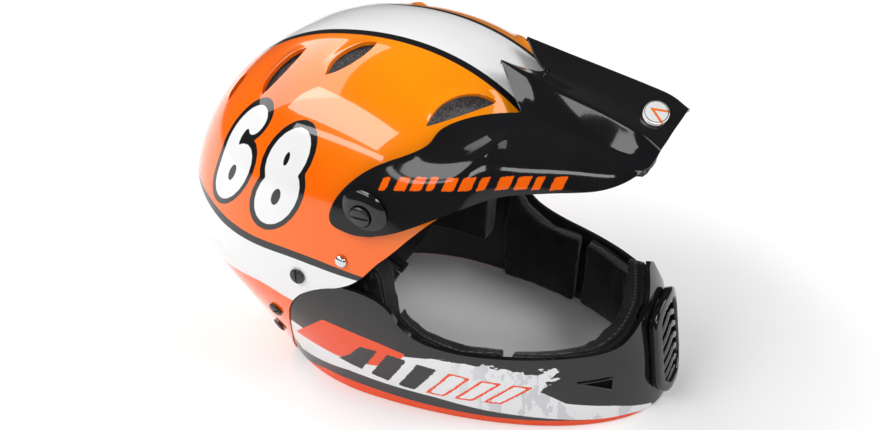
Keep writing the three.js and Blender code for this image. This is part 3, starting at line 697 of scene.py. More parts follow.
def height_over(points, line):
    line = curve(line[::-1])
    edge = np.interp(points[:, 1], line[:, 0], line[:, 1])
    slope = np.gradient(line[:, 1], line[:, 0])
    tilt = np.interp(points[:, 1], line[:, 0], slope)
    return (points[:, 2] - edge) / np.sqrt(1 + tilt ** 2)


def arc(cx, cy, rx, ry, start, end, count=20):
    a = np.radians(np.linspace(start, end, count))
    return np.stack((cx + rx * np.cos(a), cy + ry * np.sin(a)), 1)


# The race number's digits as paths with v up, and where the two stand in side view:
# a centre and the directions of one unit forward and one unit up.
EIGHT = np.vstack((arc(0.4, 11.6, 8.3, 10.6, -90, 270), arc(-0.2, -10.8, 9.8, 11.6, 90, 450)))
SIX = np.vstack((arc(0.7, 9, 9.8, 13.2, 40, 180), arc(0, -10.8, 9.8, 11.6, 180, 540)))
DIGIT_PLACES = [((79.4, 149.3), ((-0.905, 0.425), (-0.235, 0.972))),
                ((43.9, 146.9), ((-0.953, 0.302), (-0.167, 0.986)))]


def number_distance(points):
    """Distance to the number's strokes. It reads from left to right on both sides of the shell."""
    best = np.full(len(points), 40.0)
    left = points[:, 0] > 0
    for (centre, directions), own, other in zip(DIGIT_PLACES, (SIX, EIGHT), (EIGHT, SIX)):
        local = (points[:, 1:] - centre) @ np.linalg.inv(directions)
        distance = np.where(left, path_distance(local * (-1, 1), other), path_distance(local, own))
        best = np.minimum(best, distance)
    return best


def paint_shell(shell):
    points = design_points(shell)
    set_attribute(shell, "middle", np.abs(points[:, 0]))
    set_attribute(shell, "belt_top", height_over(points, BELT_TOP))
    set_attribute(shell, "belt_low", height_over(points, BELT_LOW))
    set_attribute(shell, "wedge_top", height_over(points, WEDGE_TOP))
    away = np.abs(points[:, 0]) < 30
    set_attribute(shell, "number", np.where(away, 40, number_distance(points)))


def shell_paint():
    """Clear-coated paint: orange body, painted lighter and yellower towards the top front as painted light,
    white and black stripes, a white race number outlined in black.
    """
    s = Shader("shell_paint")
    white = s.mix(s.noise(30), (0.74, 0.74, 0.745), (0.79, 0.79, 0.795))
    black = (0.008, 0.008, 0.009)
    # painted light: the orange is lighter and yellower towards the top and front and deeper towards the rear
    # and bottom
    lean = s.math("ADD", s.math("MULTIPLY", s.axis("Y"), 2.6), s.math("MULTIPLY", s.axis("Z"), -3.2))
    orange = s.mix(s.remap(lean, -0.66, -0.40), (0.92, 0.27, 0.002), (0.90, 0.13, 0.001))
    orange = s.mix(s.remap(s.noise(14, 1), 0.35, 0.65, 0.0, 0.2), orange, (0.9, 0.17, 0.002))
    below_line = s.mix(s.below(s.attribute("wedge_top")), white, (0.86, 0.115, 0.002))
    body = s.mix(s.below(s.attribute("belt_top")), orange, black)
    body = s.mix(s.below(s.attribute("belt_low")), body, below_line)
    over_belt = s.below(s.math("MULTIPLY", s.attribute("belt_top"), -1.0))
    stripe = s.attribute("middle")
    outside = s.mix(s.math("MULTIPLY", s.below(stripe, 29.6), over_belt), body, black)
    colour = s.mix(s.below(stripe, 24.4), outside, white)
    number = s.attribute("number")
    colour = s.mix(s.below(number, 10.2), colour, black)
    colour = s.mix(s.below(number, 6.3), colour, white)
    scratch = s.remap(s.noise(700, 2, 0.6, (1, 0.15, 1)), 0.55, 0.8, 0.0, 1.0)
    s.set(Base_Color=colour, Roughness=s.remap(scratch, 0, 1, 0.16, 0.3), Coat_Weight=1.0,
          Coat_Roughness=0.025, Specular_IOR_Level=0.1)
    s.bump(s.noise(260, 1.0), 0.00004, 0.3)
    return s.material


def raw_shell():
    s = Shader("shell_inside")
    s.set(Base_Color=s.mix(s.noise(200), (0.012, 0.012, 0.012), (0.03, 0.03, 0.03)), Roughness=0.6)
    s.bump(s.noise(900), 0.0001, 0.4)
    return s.material


# ---------------------------------------------------------------- liner

LINER_EDGE = [(-230, 166), (-90, 163.5), (-70, 158), (-48, 146), (-28, 128), (-14, 112), (10, 108), (42, 107),
              (66, 86), (112, 56), (200, 56)]


def liner_project(points):
    """The foam's outside, which sinks a little under each vent."""
    surface = form_project(LINER_DEPTH)(points)
    distance, _ = vent_distance(surface)
    return surface - form_normal(surface) * (5.2 * smooth(0.5 - distance / 2.2))[:, None]


def make_liner():
    verts, faces = form_surface(LINER_DEPTH, 2.2)
    verts = liner_project(verts)
    outline = [*LINER_EDGE, (230, 56), (230, -400), (-230, -400)]
    verts, faces = clip(verts, faces, lambda p: polygon_distance(p[:, 1:], outline), liner_project)
    base = form_project(LINER_DEPTH)(verts)
    wall, faces, _, _ = thicken(base, faces, form_normal(base), LINER_WALL)
    wall[:len(verts)] = verts
    liner = make_object("liner_foam", wall, faces, [foam_grey()], smooth_angle=40)
    stand_for(liner, "eps_liner", "shell")


# ---------------------------------------------------------------- chin guard

def ring_points(angle, z, depth):
    """Points of the chin guard's form: angle 0 at the front, positive towards +X."""
    half, centre, rear, front, power = section(z)
    ahead = np.cos(angle) > 0
    p = np.where(ahead, 2.0, power)
    reach = np.where(ahead, centre - front, rear - centre)
    sine, cosine = np.sin(angle), np.cos(angle)
    x = (half - depth) * np.sign(sine) * np.abs(sine) ** (2 / p)
    y = centre - (reach - depth) * np.sign(cosine) * np.abs(cosine) ** (2 / p)
    return np.stack((x, y, z), -1)


def ring_normal(angle, z):
    step = 1e-3
    around = ring_points(angle + step, z, 0) - ring_points(angle - step, z, 0)
    rising = ring_points(angle, z + 0.1, 0) - ring_points(angle, z - 0.1, 0)
    return unit(np.cross(around, rising))


def ring_mesh(from_z, to_z, spacing, limit=2.45):
    """A strip of the guard's form, to an angle either side of the front, as parameters and faces."""
    radius = 115
    columns = int(2 * limit * radius / spacing)
    rows = int((to_z - from_z) / spacing) + 1
    angle, z = np.meshgrid(np.linspace(-limit, limit, columns), np.linspace(from_z, to_z, rows))
    return np.stack((angle.ravel(), z.ravel()), 1), grid_faces(rows, columns)


def clip_ring(params, faces, keep, depth):
    """Clips in the parameters (angle, z); keep reads points of the form."""
    stacked = np.column_stack((params, np.zeros(len(params))))
    verts, faces = clip(stacked, faces, lambda q: keep(ring_points(q[:, 0], q[:, 1], depth)), lambda q: q)
    return verts[:, :2], faces


def ring_wall(params, faces, depth, wall):
    """A closed wall on the guard's form, its outside a depth below the form."""
    angle, z = params.T
    return thicken(ring_points(angle, z, depth), faces, ring_normal(angle, z), wall)


def guard_top(points):
    """How far below the guard's top edge points are."""
    side = np.vstack((curve(GUARD_EDGE), [(-240, 52.5)]))
    front = curve(BEAK_EDGE[::-1])
    from_side = np.interp(-points[:, 1], -side[:, 0], side[:, 1])
    from_front = np.interp(np.abs(points[:, 0]), front[:, 0], front[:, 1])
    return np.where(points[:, 1] < -112, from_front, from_side) - points[:, 2]


def guard_keep(points):
    border = curve([(y - 0.5, z - 0.4) for y, z in BORDER])
    ahead = [(-240, -60), (border[0][0], -60), *border[border[:, 1] < 91], (-14, 110), (-240, 110)]
    return np.minimum(-polygon_distance(points[:, 1:], ahead), guard_top(points))


MOUTH_Z = 39.5


def make_guard():
    hole = rounded_outline(14, 25, 11, MOUTH_Z)

    def round_mouth(points):
        return np.where(points[:, 1] > 0, 9, polygon_distance(points[:, [0, 2]], hole))

    params, faces = ring_mesh(0, 96, 1.4)
    params, faces = clip_ring(params, faces, guard_keep, GUARD_DEPTH)
    params, faces = clip_ring(params, faces, round_mouth, GUARD_DEPTH)
    verts, faces, tags, normals = ring_wall(params, faces, GUARD_DEPTH, GUARD_WALL)
    materials = [guard_paint(), matte_black("guard_inside")]
    guard = make_object("guard_skin", verts, faces, materials, tags, (0, 1, 0), normals)
    paint_guard(guard)
    stand_for(guard, "chin_guard", "shell")


def make_flange():
    """The guard's rear part, which tucks under the shell."""
    front = curve([(y - 9, z) for y, z in BORDER[:8]])
    outline = [*front, (0, 80), (-1, 90), (12, 102), (38, 102), (60, 77), (74, 39), (81, -2)]
    params, faces = ring_mesh(0, 104, 4.0)
    params, faces = clip_ring(params, faces, lambda p: -polygon_distance(p[:, 1:], outline), FLANGE_DEPTH)
    verts, faces, tags, normals = ring_wall(params, faces, FLANGE_DEPTH, FLANGE_WALL)
    black = matte_black("guard_flange")
    flange = make_object("guard_flange", verts, faces, [black], tags, (0, 0, 0), normals)
    stand_for(flange, None, "shell")


def rounded_outline(half_width, half_height, corner, centre, count=8):
    """A rectangle with round corners about (0, centre)."""
    out = []
    for quarter, (sx, sy) in enumerate(((1, 1), (-1, 1), (-1, -1), (1, -1))):
        for a in np.radians(np.linspace(0, 90, count) + 90 * quarter):
            out.append((sx * (half_width - corner) + corner * math.cos(a),
                        centre + sy * (half_height - corner) + corner * math.sin(a)))
    return np.array(out)


def paint_guard(guard):
    points = design_points(guard)
    run = side_run(points)
    set_attribute(guard, "run", run)
    flat = np.stack((run, points[:, 2]), 1)
    side = points[:, 1] < 62
    for name, shapes in GUARD_SHAPES.items():
        distance = np.min([polygon_distance(flat, shape) for shape in shapes], axis=0)
        set_attribute(guard, name, np.where(side, distance, 9.0))
    front = np.stack((np.abs(points[:, 0]), points[:, 2]), 1)
    set_attribute(guard, "scoop", np.where(points[:, 1] < -90, polygon_distance(front, SCOOP), 9.0))
    for name, line in (("over_stripe", STRIPE_TOP), ("over_rim", RIM_TOP)):
        x, z = np.array(line, float).T
        set_attribute(guard, name, points[:, 2] - np.interp(run, x, z))


def side_run(points):
    """Distance along the guard from its rear end towards the front, level."""
    z = points[:, 2]
    half, centre, _, front, _ = section(z)
    angle = np.arctan2(np.abs(points[:, 0]) / half, -(points[:, 1] - centre) / (centre - front))
    table_angle = np.linspace(0, math.pi, 240)
    line = ring_points(table_angle, np.full(240, 25.0), GUARD_DEPTH)
    length = np.concatenate(([0], np.cumsum(np.linalg.norm(np.diff(line, axis=0), axis=1))))
    start = np.interp(60.0, line[:, 1], length)
    return start - np.interp(angle, table_angle, length)


BAND_LOW = [(48, 27), (60, 22), (88, 16), (117, 15), (166, 16)]
BAND_TOP = [(61, 44), (90, 43), (119, 38), (140, 34.5), (180, 31)]


def slashes(starts, width):
    """Slanted blocks in a row along the guard's side, between two lines of its print."""
    shapes = []
    for run in starts:
        runs = (run, run + width, run + width + 23, run + 23)
        low = np.interp(runs[:2], *np.array(BAND_LOW, float).T)
        top = np.interp(runs[2:], *np.array(BAND_TOP, float).T)
        shapes.append(list(zip(runs, (*low, *top))))
    return shapes


# Printed shapes on the guard's side, as (run, height) in millimetres; run counts from its rear end.
GUARD_SHAPES = {
    "red_shape": [[(32, 33), (60, 59), (77, 55), (92, 51), (105, 46), (88, 31), (65, 27), (51, 27),
                   (41, 30)]],
    "shard_shape": [[(38, 46), (43, 41), (32, 33), (41, 30), (51, 27), (65, 27), (88, 31), (102, 44),
                     (126, 47), (137, 46), (155, 47), (168, 42), (193, 44), (178, 28), (192, 18), (222, 12),
                     (254, 2), (254, -9), (22, -9), (20, 30)]],
    "dark_slash": slashes((52, 69, 86), 11),
    "bright_slash": slashes((104, 122, 140), 12),
}
# The small wedge-shaped scoop beside the grille, as (sideways, height). Inside it the flat guard is painted
# near-black as the shade of a recess.
SCOOP = [(58.5, 33.6), (45.2, 33.9), (44.6, 33.2), (44.6, 26.6), (45.4, 26)]
# Upper edges of the dark stripe and of the red rim, as (run, height).
STRIPE_TOP = [(20, 10), (25, 11), (37, 13), (54, 16), (76, 14.5), (109, 13), (140, 9), (167, 7), (213, 3),
              (250, -3)]
RIM_TOP = [(20, 0), (28, 2), (37, 6), (53, 7), (78, 6), (100, 5), (143, 4), (195, 4), (235, 2), (262, -3)]


def guard_paint():
    """Gloss black with a red rim, a dark stripe over it and torn white and red shapes on the side; the
    scoops' insides are painted near-black as shade.
    """
    s = Shader("guard_paint")
    black, scuff = black_plastic(s)
    red, white = (0.82, 0.065, 0.004), (0.78, 0.79, 0.80)
    ragged = s.remap(s.noise(110, 2, 0.5, (1, 1, 2.5)), 0.3, 0.7, -3.2, 3.2)
    torn = s.math("MULTIPLY", ragged, s.remap(s.attribute("run"), 112, 130))
    torn = s.math("MULTIPLY", torn, s.remap(s.axis("Z"), 0.026, 0.034))
    grey = s.mix(s.remap(s.noise(60, 4, 0.6, (1, 2.4, 1)), 0.53, 0.545), white, (0.60, 0.61, 0.64))
    grey = s.mix(s.remap(s.attribute("run"), 112, 150), white, grey)
    colour = s.mix(s.below(s.math("ADD", s.attribute("shard_shape"), torn), 0, 0.2), black, grey)
    colour = s.mix(s.below(s.attribute("red_shape")), colour, red)
    worn = s.remap(s.noise(500, 4, 0.7), 0.3, 0.7, -0.35, 0.35)
    dark = s.math("ADD", s.attribute("dark_slash"), worn)
    bright = s.math("ADD", s.attribute("bright_slash"), worn)
    colour = s.mix(s.below(dark), colour, (0.02, 0.02, 0.022))
    colour = s.mix(s.below(bright), colour, red)
    colour = s.mix(s.below(bright, -1.3), colour, (0.8, 0.8, 0.81))
    # painted shade: inside each scoop the colour is near-black, standing in for the shade of a recess that
    # the mesh does not have
    colour = s.mix(s.below(s.attribute("scoop")), colour, (0.001, 0.001, 0.001))
    colour = s.mix(s.below(s.attribute("over_stripe")), colour, (0.035, 0.035, 0.038))
    colour = s.mix(s.below(s.attribute("over_rim")), colour, red)
    # the scoops' insides are also made rough and barely reflective, so the painted shade reads as a hole
    painted_hole = s.below(s.attribute("scoop"), 0, 0.3)
    s.set(Base_Color=colour, Roughness=s.math("MAXIMUM", scuff, s.math("MULTIPLY", painted_hole, 0.9)),
          Specular_IOR_Level=s.remap(painted_hole, 0, 1, 0.5, 0.1))
    return s.material


# ---------------------------------------------------------------- grille

def face_point(x, z, lift):
    """A point over the guard's front, by sideways place and height."""
    x, z, lift = np.broadcast_arrays(*(np.asarray(v, float) for v in (x, z, lift)))
    angle = np.arcsin(np.clip(x / (section(z)[0] - GUARD_DEPTH), -1, 1))
    return ring_points(angle, z, GUARD_DEPTH) + ring_normal(angle, z) * lift[..., None]


def sweep(path, profile, closed=False):
    """Sweeps a profile (sideways, lift) along a path (x, z) on the guard's front."""
    path = np.asarray(path, float)
    if closed:
        tangent = np.roll(path, -1, 0) - np.roll(path, 1, 0)
    else:
        tangent = np.gradient(path, axis=0)
    tangent = unit(tangent)
    side = np.stack((-tangent[:, 1], tangent[:, 0]), 1)
    x = path[:, None, 0] + side[:, None, 0] * profile[None, :, 0]
    z = path[:, None, 1] + side[:, None, 1] * profile[None, :, 0]
    lift = np.broadcast_to(profile[None, :, 1], x.shape)
    return face_point(x.ravel(), z.ravel(), lift.ravel()), tube_faces(len(path), len(profile), closed)


def rounded_profile(left, right, low, high, radius, count=5):
    """A rectangle's outline with round corners, for sweep."""
    out = []
    corners = ((right - radius, high - radius, 0), (left + radius, high - radius, 90),
               (left + radius, low + radius, 180), (right - radius, low + radius, 270))
    for cx, cy, start in corners:
        for a in np.radians(np.linspace(start, start + 90, count)):
            out.append((cx + radius * math.cos(a), cy + radius * math.sin(a)))
    return np.array(out)


def make_grille():
    """The oval frame and its slats, and the raised edges of the two scoops beside it."""
    frame_path = rounded_outline(17.6, 28, 13, MOUTH_Z, 14)
    parts = [sweep(frame_path, rounded_profile(-3.2, 3.2, 0.35, 6.4, 1.6), closed=True)]
    for i in range(-3, 4):
        z = MOUTH_Z - 1.5 + i * 8
        x = np.linspace(-15.5, 15.5, 15)
        path = np.stack((x, z + 4 - 8 * (np.abs(x) / 15.5) ** 1.2), 1)
        inside = polygon_distance(path, rounded_outline(15.8, 26.5, 11, MOUTH_Z)) < 0
        if inside.sum() > 4:
            parts.append(sweep(path[inside], rounded_profile(-1.9, 1.9, 0.3, 4.6, 1.0)))
    join_parts("grille_moulding", parts, gloss_black("grille_black"), "mouth_grille", "shell",
               50)
    lips = []
    edge = curve([(58.6, 33.7), (52, 33.9), (45.4, 34), (44.4, 33), (44.3, 29.5), (44.5, 26.2), (45.6, 25.8),
                  (52, 29.6), (58.2, 33.3)], 0.8)
    for path in (edge, edge[::-1] * (-1, 1)):
        lips.append(sweep(path, rounded_profile(-0.55, 0.55, -0.3, 1.0, 0.4), closed=True))
    join_parts("scoop_lips", lips, gloss_black("scoop_black"), None, "shell", 50)


def join_parts(name, parts, material, node, body, smooth_angle):
    verts, faces = [], []
    for part_verts, part_faces in parts:
        start = sum(len(v) for v in verts)
        verts.append(part_verts)
        faces += [tuple(v + start for v in f) for f in part_faces]
    piece = make_object(name, np.vstack(verts), faces, [material], smooth_angle=smooth_angle)
    stand_for(piece, node, body)


# ---------------------------------------------------------------- visor

# Sections of the peak from its rear to its front edge, each from the lower edge up to the middle.
VISOR_STATIONS = np.array([
    [(78, -82, 157.5), (77, -82, 166), (71, -82, 176), (62, -82, 183), (50, -82, 187), (38, -82, 189),
     (30, -82, 197), (22.7, -82, 205), (10, -83, 200.5), (0, -84, 198.8)],
    [(66, -106, 160), (64.5, -106, 167), (60, -106, 174.5), (53, -106, 180), (45, -106, 183),
     (37, -106, 184.5), (31, -106, 191), (25.3, -106, 199), (11, -106, 196), (0, -106, 194.7)],
    [(54, -130, 161.5), (52.5, -130, 167), (49.5, -130, 172), (45.5, -130, 175.5), (41, -130, 177.5),
     (36.5, -130, 179), (32.5, -130, 184.5), (27.9, -130, 192.8), (12.5, -130, 191), (0, -130, 190.4)],
    [(47.5, -144, 168), (46.5, -145, 171), (45, -145, 173.5), (43, -145, 175.5), (40.5, -145, 177),
     (37.5, -145, 178.5), (34, -145, 182), (30, -145, 188), (13, -145, 187), (0, -145, 186.3)],
    [(44.5, -150.5, 174.5), (43.5, -152, 175.5), (42, -153, 176.5), (40.5, -153.8, 177.5),
     (38.5, -154.3, 178.3), (36, -154.8, 179.2), (33, -155.2, 180.4), (29.5, -155.5, 181.8),
     (13, -155.2, 180.8), (0, -154.5, 180.2)]])
# Rear edge: which point of a section each rail runs forward to, and where it starts, on the shell or free.
VISOR_REAR = [(0, (8, 131)), (0.7, (8, 140)), (1.4, (2, 152)), (2, (-12, 165)), (2.6, (-27, 171)),
              (3.2, (-41, 177)), (3.7, (72, -40.5, 187)), (4.4, (52, -59.5, 192)), (5, (37, -77, 189.8)),
              (6, (27.5, -66, 198.5)), (7, (20.5, -56, 211.5)), (8, (10, -66, 204)), (9, (0, -77, 199.8))]
VISOR_LOWER = [(8, 131), (-9, 127.5), (-28, 132), (-46, 141), (-63, 150)]
VISOR_LIFT = 4.2  # the arms' outside over the shell


def on_shell(y, z, height):
    point = side_point(y, z)
    return point + form_normal(point) * height


def visor_rails(samples):
    """Lines from the rear edge to the front edge over one half of the visor, evenly divided."""
    rails = []
    for at, start in VISOR_REAR:
        low = min(8, int(at))
        stations = lerp(VISOR_STATIONS[:, low], VISOR_STATIONS[:, low + 1], at - low)
        end = stations[0]
        t = np.arange(5) / 5
        if len(start) == 3:
            arm = lerp(np.array(start, float), end, t[:, None])
        else:
            if at == 0:
                y, z = np.array(VISOR_LOWER, float).T
            else:
                y, z = lerp(start[0], end[1], t), lerp(start[1], end[2], t)
            arm = on_shell(y, z, VISOR_LIFT)
            arm[:, 0] += (end[0] - on_shell(end[1], end[2], VISOR_LIFT)[0]) * t ** 3
        line = curve(np.vstack((arm, stations)), 1.0)
        length = np.concatenate(([0], np.cumsum(np.linalg.norm(np.diff(line, axis=0), axis=1))))
        marks = np.linspace(0, length[-1], samples + 1)
        rails.append(np.stack([np.interp(marks, length, line[:, k]) for k in range(3)], 1))
    return np.array(rails)


def make_visor():
    samples = 22
    half = visor_rails(samples)
    other = half[:-1][::-1] * (-1, 1, 1)
    rails = np.vstack((half, other))
    count = len(rails)
    faces = [tuple(reversed(f)) for f in grid_faces(count, samples + 1)]
    visor = make_object("visor_skin", rails.reshape(-1, 3), faces, [visor_paint()])
    crease_visor(visor, samples, count)
    smooth_it = visor.modifiers.new("smooth", "SUBSURF")
    smooth_it.levels = smooth_it.render_levels = 3
    wall = visor.modifiers.new("wall", "SOLIDIFY")
    wall.thickness = VISOR_WALL / 1000
    wall.offset = -1
    wall.use_even_offset = True
    wall.use_quality_normals = True
    apply_modifiers(visor)
    visor.data.set_sharp_from_angle(angle=math.radians(50))
    bars = visor_bars(design_points(visor))
    bars[len(bars) // 2:] = 20  # the wall's inner face follows its outer one in the mesh, and has no print
    set_attribute(visor, "bars", bars)
    stand_for(visor, "visor", "visor")
    profile = [(6.6, 102.6), (6.6, 105.3), (6.9, 105.6), (7.8, 105.6), (9.2, 105.35), (11.2, 104.7),
               (13.4, 103.6), (14.6, 102.6)]
    for name, side in (("left", 1), ("right", -1)):
        boss = lathe_x(profile, PIVOT, side, 48)
        join_parts("visor_boss_" + name, [boss], gloss_black("boss_black"), None, "visor", 40)


def crease_visor(visor, samples, count):
    """Keeps the two ridges, the prongs of the rear edge and the front corners from being smoothed away."""
    bm = bmesh.new()
    bm.from_mesh(visor.data)
    crease = bm.edges.layers.float.new("crease_edge")
    corner = bm.verts.layers.float.new("crease_vert")
    bm.verts.ensure_lookup_table()
    crest_rows = {10: 0.75, count - 1 - 10: 0.75, 8: 0.4, count - 1 - 8: 0.4, 4: 0.3, count - 1 - 4: 0.3}
    for edge in bm.edges:
        i, j = (v.index // (samples + 1) for v in edge.verts)
        if i == j and i in crest_rows:
            edge[crease] = crest_rows[i]
    for i in (10, 12, 14, 8, 16):
        bm.verts[i * (samples + 1)][corner] = 0.9
    for i in (0, 10, 14, 24):
        bm.verts[i * (samples + 1) + samples][corner] = 0.6
    bm.to_mesh(visor.data)
    bm.free()


def visor_bars(points):
    """Signed distance to the row of slanted bars printed on the visor's flank."""
    flat = points[:, 1:]
    best = np.full(len(points), 20.0)
    for i in range(11):
        y = -19 - i * 8.7
        z = np.interp(-y, (18, 40, 62, 114), (155.4, 158.8, 161.6, 161.8))
        width = 6.4 if i % 3 else 4.2
        bar = [(y, z), (y - width, z + 0.6), (y - width - 1.8, z + 7.6), (y - 1.8, z + 7)]
        best = np.minimum(best, polygon_distance(flat, bar))
    return best


def visor_paint():
    s = Shader("visor_paint")
    black, scuff = black_plastic(s)
    worn = s.remap(s.noise(520, 4, 0.75), 0.35, 0.65, -0.2, 0.25)
    bars = s.below(s.math("ADD", s.attribute("bars"), worn), 0, 0.2)
    s.set(Base_Color=s.mix(bars, black, (0.85, 0.12, 0.004)), Roughness=scuff, Specular_IOR_Level=0.33)
    return s.material


def lathe_x(profile, centre, side, count):
    """Turns a closed profile (radius, x) about the line through a side-view centre."""
    profile = np.asarray(profile, float)
    a = np.arange(count) * 2 * np.pi / count
    r, x = profile[:, 0], profile[:, 1] * side
    verts = np.stack((np.repeat(x, count), centre[0] + np.outer(r, np.cos(a)).ravel(),
                      centre[1] + np.outer(r, np.sin(a)).ravel()), 1)
    faces = tube_faces(len(profile), count, closed=True)
    return verts, [tuple(reversed(f)) for f in faces] if side > 0 else faces


# ---------------------------------------------------------------- hardware

def turned(profile, count=40):
    """A closed body turned about +X from (radius, x) pairs that start and end on the axis."""
    profile = np.asarray(profile, float)[1:-1]
    a = np.arange(count) * 2 * np.pi / count
    verts = np.stack((np.repeat(profile[:, 1], count), np.outer(profile[:, 0], np.cos(a)).ravel(),
                      np.outer(profile[:, 0], np.sin(a)).ravel()), 1)
    return verts, [tuple(reversed(f)) for f in tube_faces(len(profile), count)]


def mesh_from(name, verts, faces):
    mesh = bpy.data.meshes.new(name)
    mesh.from_pydata((np.asarray(verts) / 1000).tolist(), [], faces)
    return mesh


def cut_slot(mesh, width, length, floor, top):
    """Cuts a straight slot across a head that faces +X."""
    body = bpy.data.objects.new("slot_body", mesh)
    bm = bmesh.new()
    bmesh.ops.create_cube(bm, size=1)
    for v in bm.verts:
        v.co = Vector(((floor + top) / 2 + v.co.x * (top - floor), v.co.y * width, v.co.z * length)) / 1000
    knife_mesh = bpy.data.meshes.new("slot_knife")
    bm.to_mesh(knife_mesh)
    bm.free()
    knife = bpy.data.objects.new("slot_knife", knife_mesh)
    for piece in (body, knife):
        bpy.context.collection.objects.link(piece)
    cut = body.modifiers.new("cut", "BOOLEAN")
    cut.object = knife
    cut.operation = "DIFFERENCE"
    soften = body.modifiers.new("soften", "BEVEL")
    soften.width = 0.00018
    soften.segments = 2
    soften.angle_limit = math.radians(40)
    apply_modifiers(body)
    mesh = body.data
    for piece in (body, knife):
        bpy.data.objects.remove(piece)
    shade(mesh, 35)
    return mesh


def place_copy(name, mesh, point, outward, material, node, body):
    """A copy of a mesh turned from +X to the outward direction."""
    copy = mesh.copy()
    turn = Vector((1, 0, 0)).rotation_difference(Vector(outward)).to_matrix().to_4x4()
    copy.transform(Matrix.Translation(row(*point)) @ turn)
    copy.materials.clear()
    copy.materials.append(material)
    piece = bpy.data.objects.new(name, copy)
    bpy.context.collection.objects.link(piece)
    stand_for(piece, node, body)


def screw_mesh(head, height, shank, length):
    """A slotted screw with a domed head, its head's underside at x = 0. Head and shank are radii."""
    rise = height * 0.45
    profile = [(0, -length), (shank * 0.7, -length), (shank, -length + 1), (shank, 0.02), (head * 0.97, 0.02),
               (head, 0.3), (head, rise)]
    for a in np.radians((25, 45, 62, 78)):
        profile.append((head * math.cos(a), rise + (height - rise) * math.sin(a)))
    profile.append((0, height))
    return cut_slot(mesh_from("screw", *turned(profile)), 1.3, head * 1.9, height * 0.5, height + 1)


def nut_mesh(flange, barrel, bore, length):
    """A flanged insert, its flange's outside at x = 0. Flange, barrel and bore are radii."""
    loop = [(bore, -length), (barrel, -length), (barrel, -1.4), (flange, -1.4), (flange, 0), (bore, 0)]
    mesh = mesh_from("nut", *lathe_x(loop, (0, 0), 1, 32))
    shade(mesh, 35)
    return mesh


def screw_black():
    s = Shader("screw")
    s.set(Base_Color=s.mix(s.noise(300), (0.012, 0.012, 0.013), (0.022, 0.022, 0.024)),
          Roughness=s.remap(s.noise(1400, 3), 0.3, 0.7, 0.2, 0.36))
    s.bump(s.noise(1800, 2.0), 0.00005, 0.4)
    return s.material


GUARD_SCREWS = [(30, 90), (54, 52), (63, 27)]
RIVET_PLACE = (1, 108)


def make_hardware():
    black, steel = screw_black(), plated_steel()
    visor_screw = screw_mesh(6, 2.4, 2.6, 13.6)
    visor_nut = nut_mesh(6.5, 4.4, 3, 9)
    guard_screw = screw_mesh(4.9, 2, 2.1, 11)
    guard_nut = nut_mesh(5.4, 3.6, 2.5, 5)
    profile = [(0, -10.4), (4.6, -10.4), (4.6, -9.2), (2.2, -9.2), (2.2, 0), (3.8, 0), (3.75, 0.5),
               (3.4, 1.2), (2.5, 1.8), (1.3, 2.12), (0.3, 2.2), (0, 2.2)]
    rivet = mesh_from("rivet", *turned(profile))
    shade(rivet, 40)
    for name, side in (("left", 1), ("right", -1)):
        out = (side, 0, 0)
        place_copy("visor_bolt_" + name, visor_screw, (side * 105.9, *PIVOT), out, black,
                   "visor_screw_" + name, "visor_screw_" + name)
        place_copy("visor_insert_" + name, visor_nut, (side * 93.4, *PIVOT), out, steel,
                   "visor_nut_" + name, "shell")
        for i, (y, z) in enumerate(GUARD_SCREWS):
            point = side_point(y, z)
            outward = form_normal(point[None])[0]
            mirror = np.array((side, 1, 1))
            head, flange = (point + outward * 0.35) * mirror, (point - outward * 7.2) * mirror
            which = f"{i + 1}_{name}"
            place_copy("guard_bolt_" + which, guard_screw, head, outward * mirror, black,
                       "guard_screw_" + which, "shell")
            place_copy("guard_insert_" + which, guard_nut, flange, outward * mirror, steel,
                       "guard_nut_" + which, "shell")
        rivet_x = side_point(*RIVET_PLACE)[0] + 0.5
        place_copy("rivet_" + name, rivet, (side * rivet_x, *RIVET_PLACE), out, steel,
                   "strap_rivet_" + name, "shell")


BADGE_HALF_WIDTH, BADGE_HALF_LENGTH = 14.2, 7.3
BADGE_Y, BADGE_Z, BADGE_TILT = -143.6, 189, math.radians(22)


def make_badge():
    """A printed oval plate near the visor's front edge."""
    profile = [(0, -1.3), (0.97, -1.3), (1, -1.1), (1, 0.25), (0.97, 0.5), (0.85, 0.62), (0, 0.62)]
    verts, faces = turned(profile, 64)
    x, length, lift = verts[:, 1] * BADGE_HALF_WIDTH, verts[:, 2] * BADGE_HALF_LENGTH, verts[:, 0]
    y = length * math.cos(BADGE_TILT) - lift * math.sin(BADGE_TILT)
    z = length * math.sin(BADGE_TILT) + lift * math.cos(BADGE_TILT)
    plate = np.stack((x, y + BADGE_Y, z + BADGE_Z), 1)
    badge = make_object("badge_plate", plate, faces, [badge_print()], smooth_angle=40)
    stand_for(badge, "visor_badge", "visor")


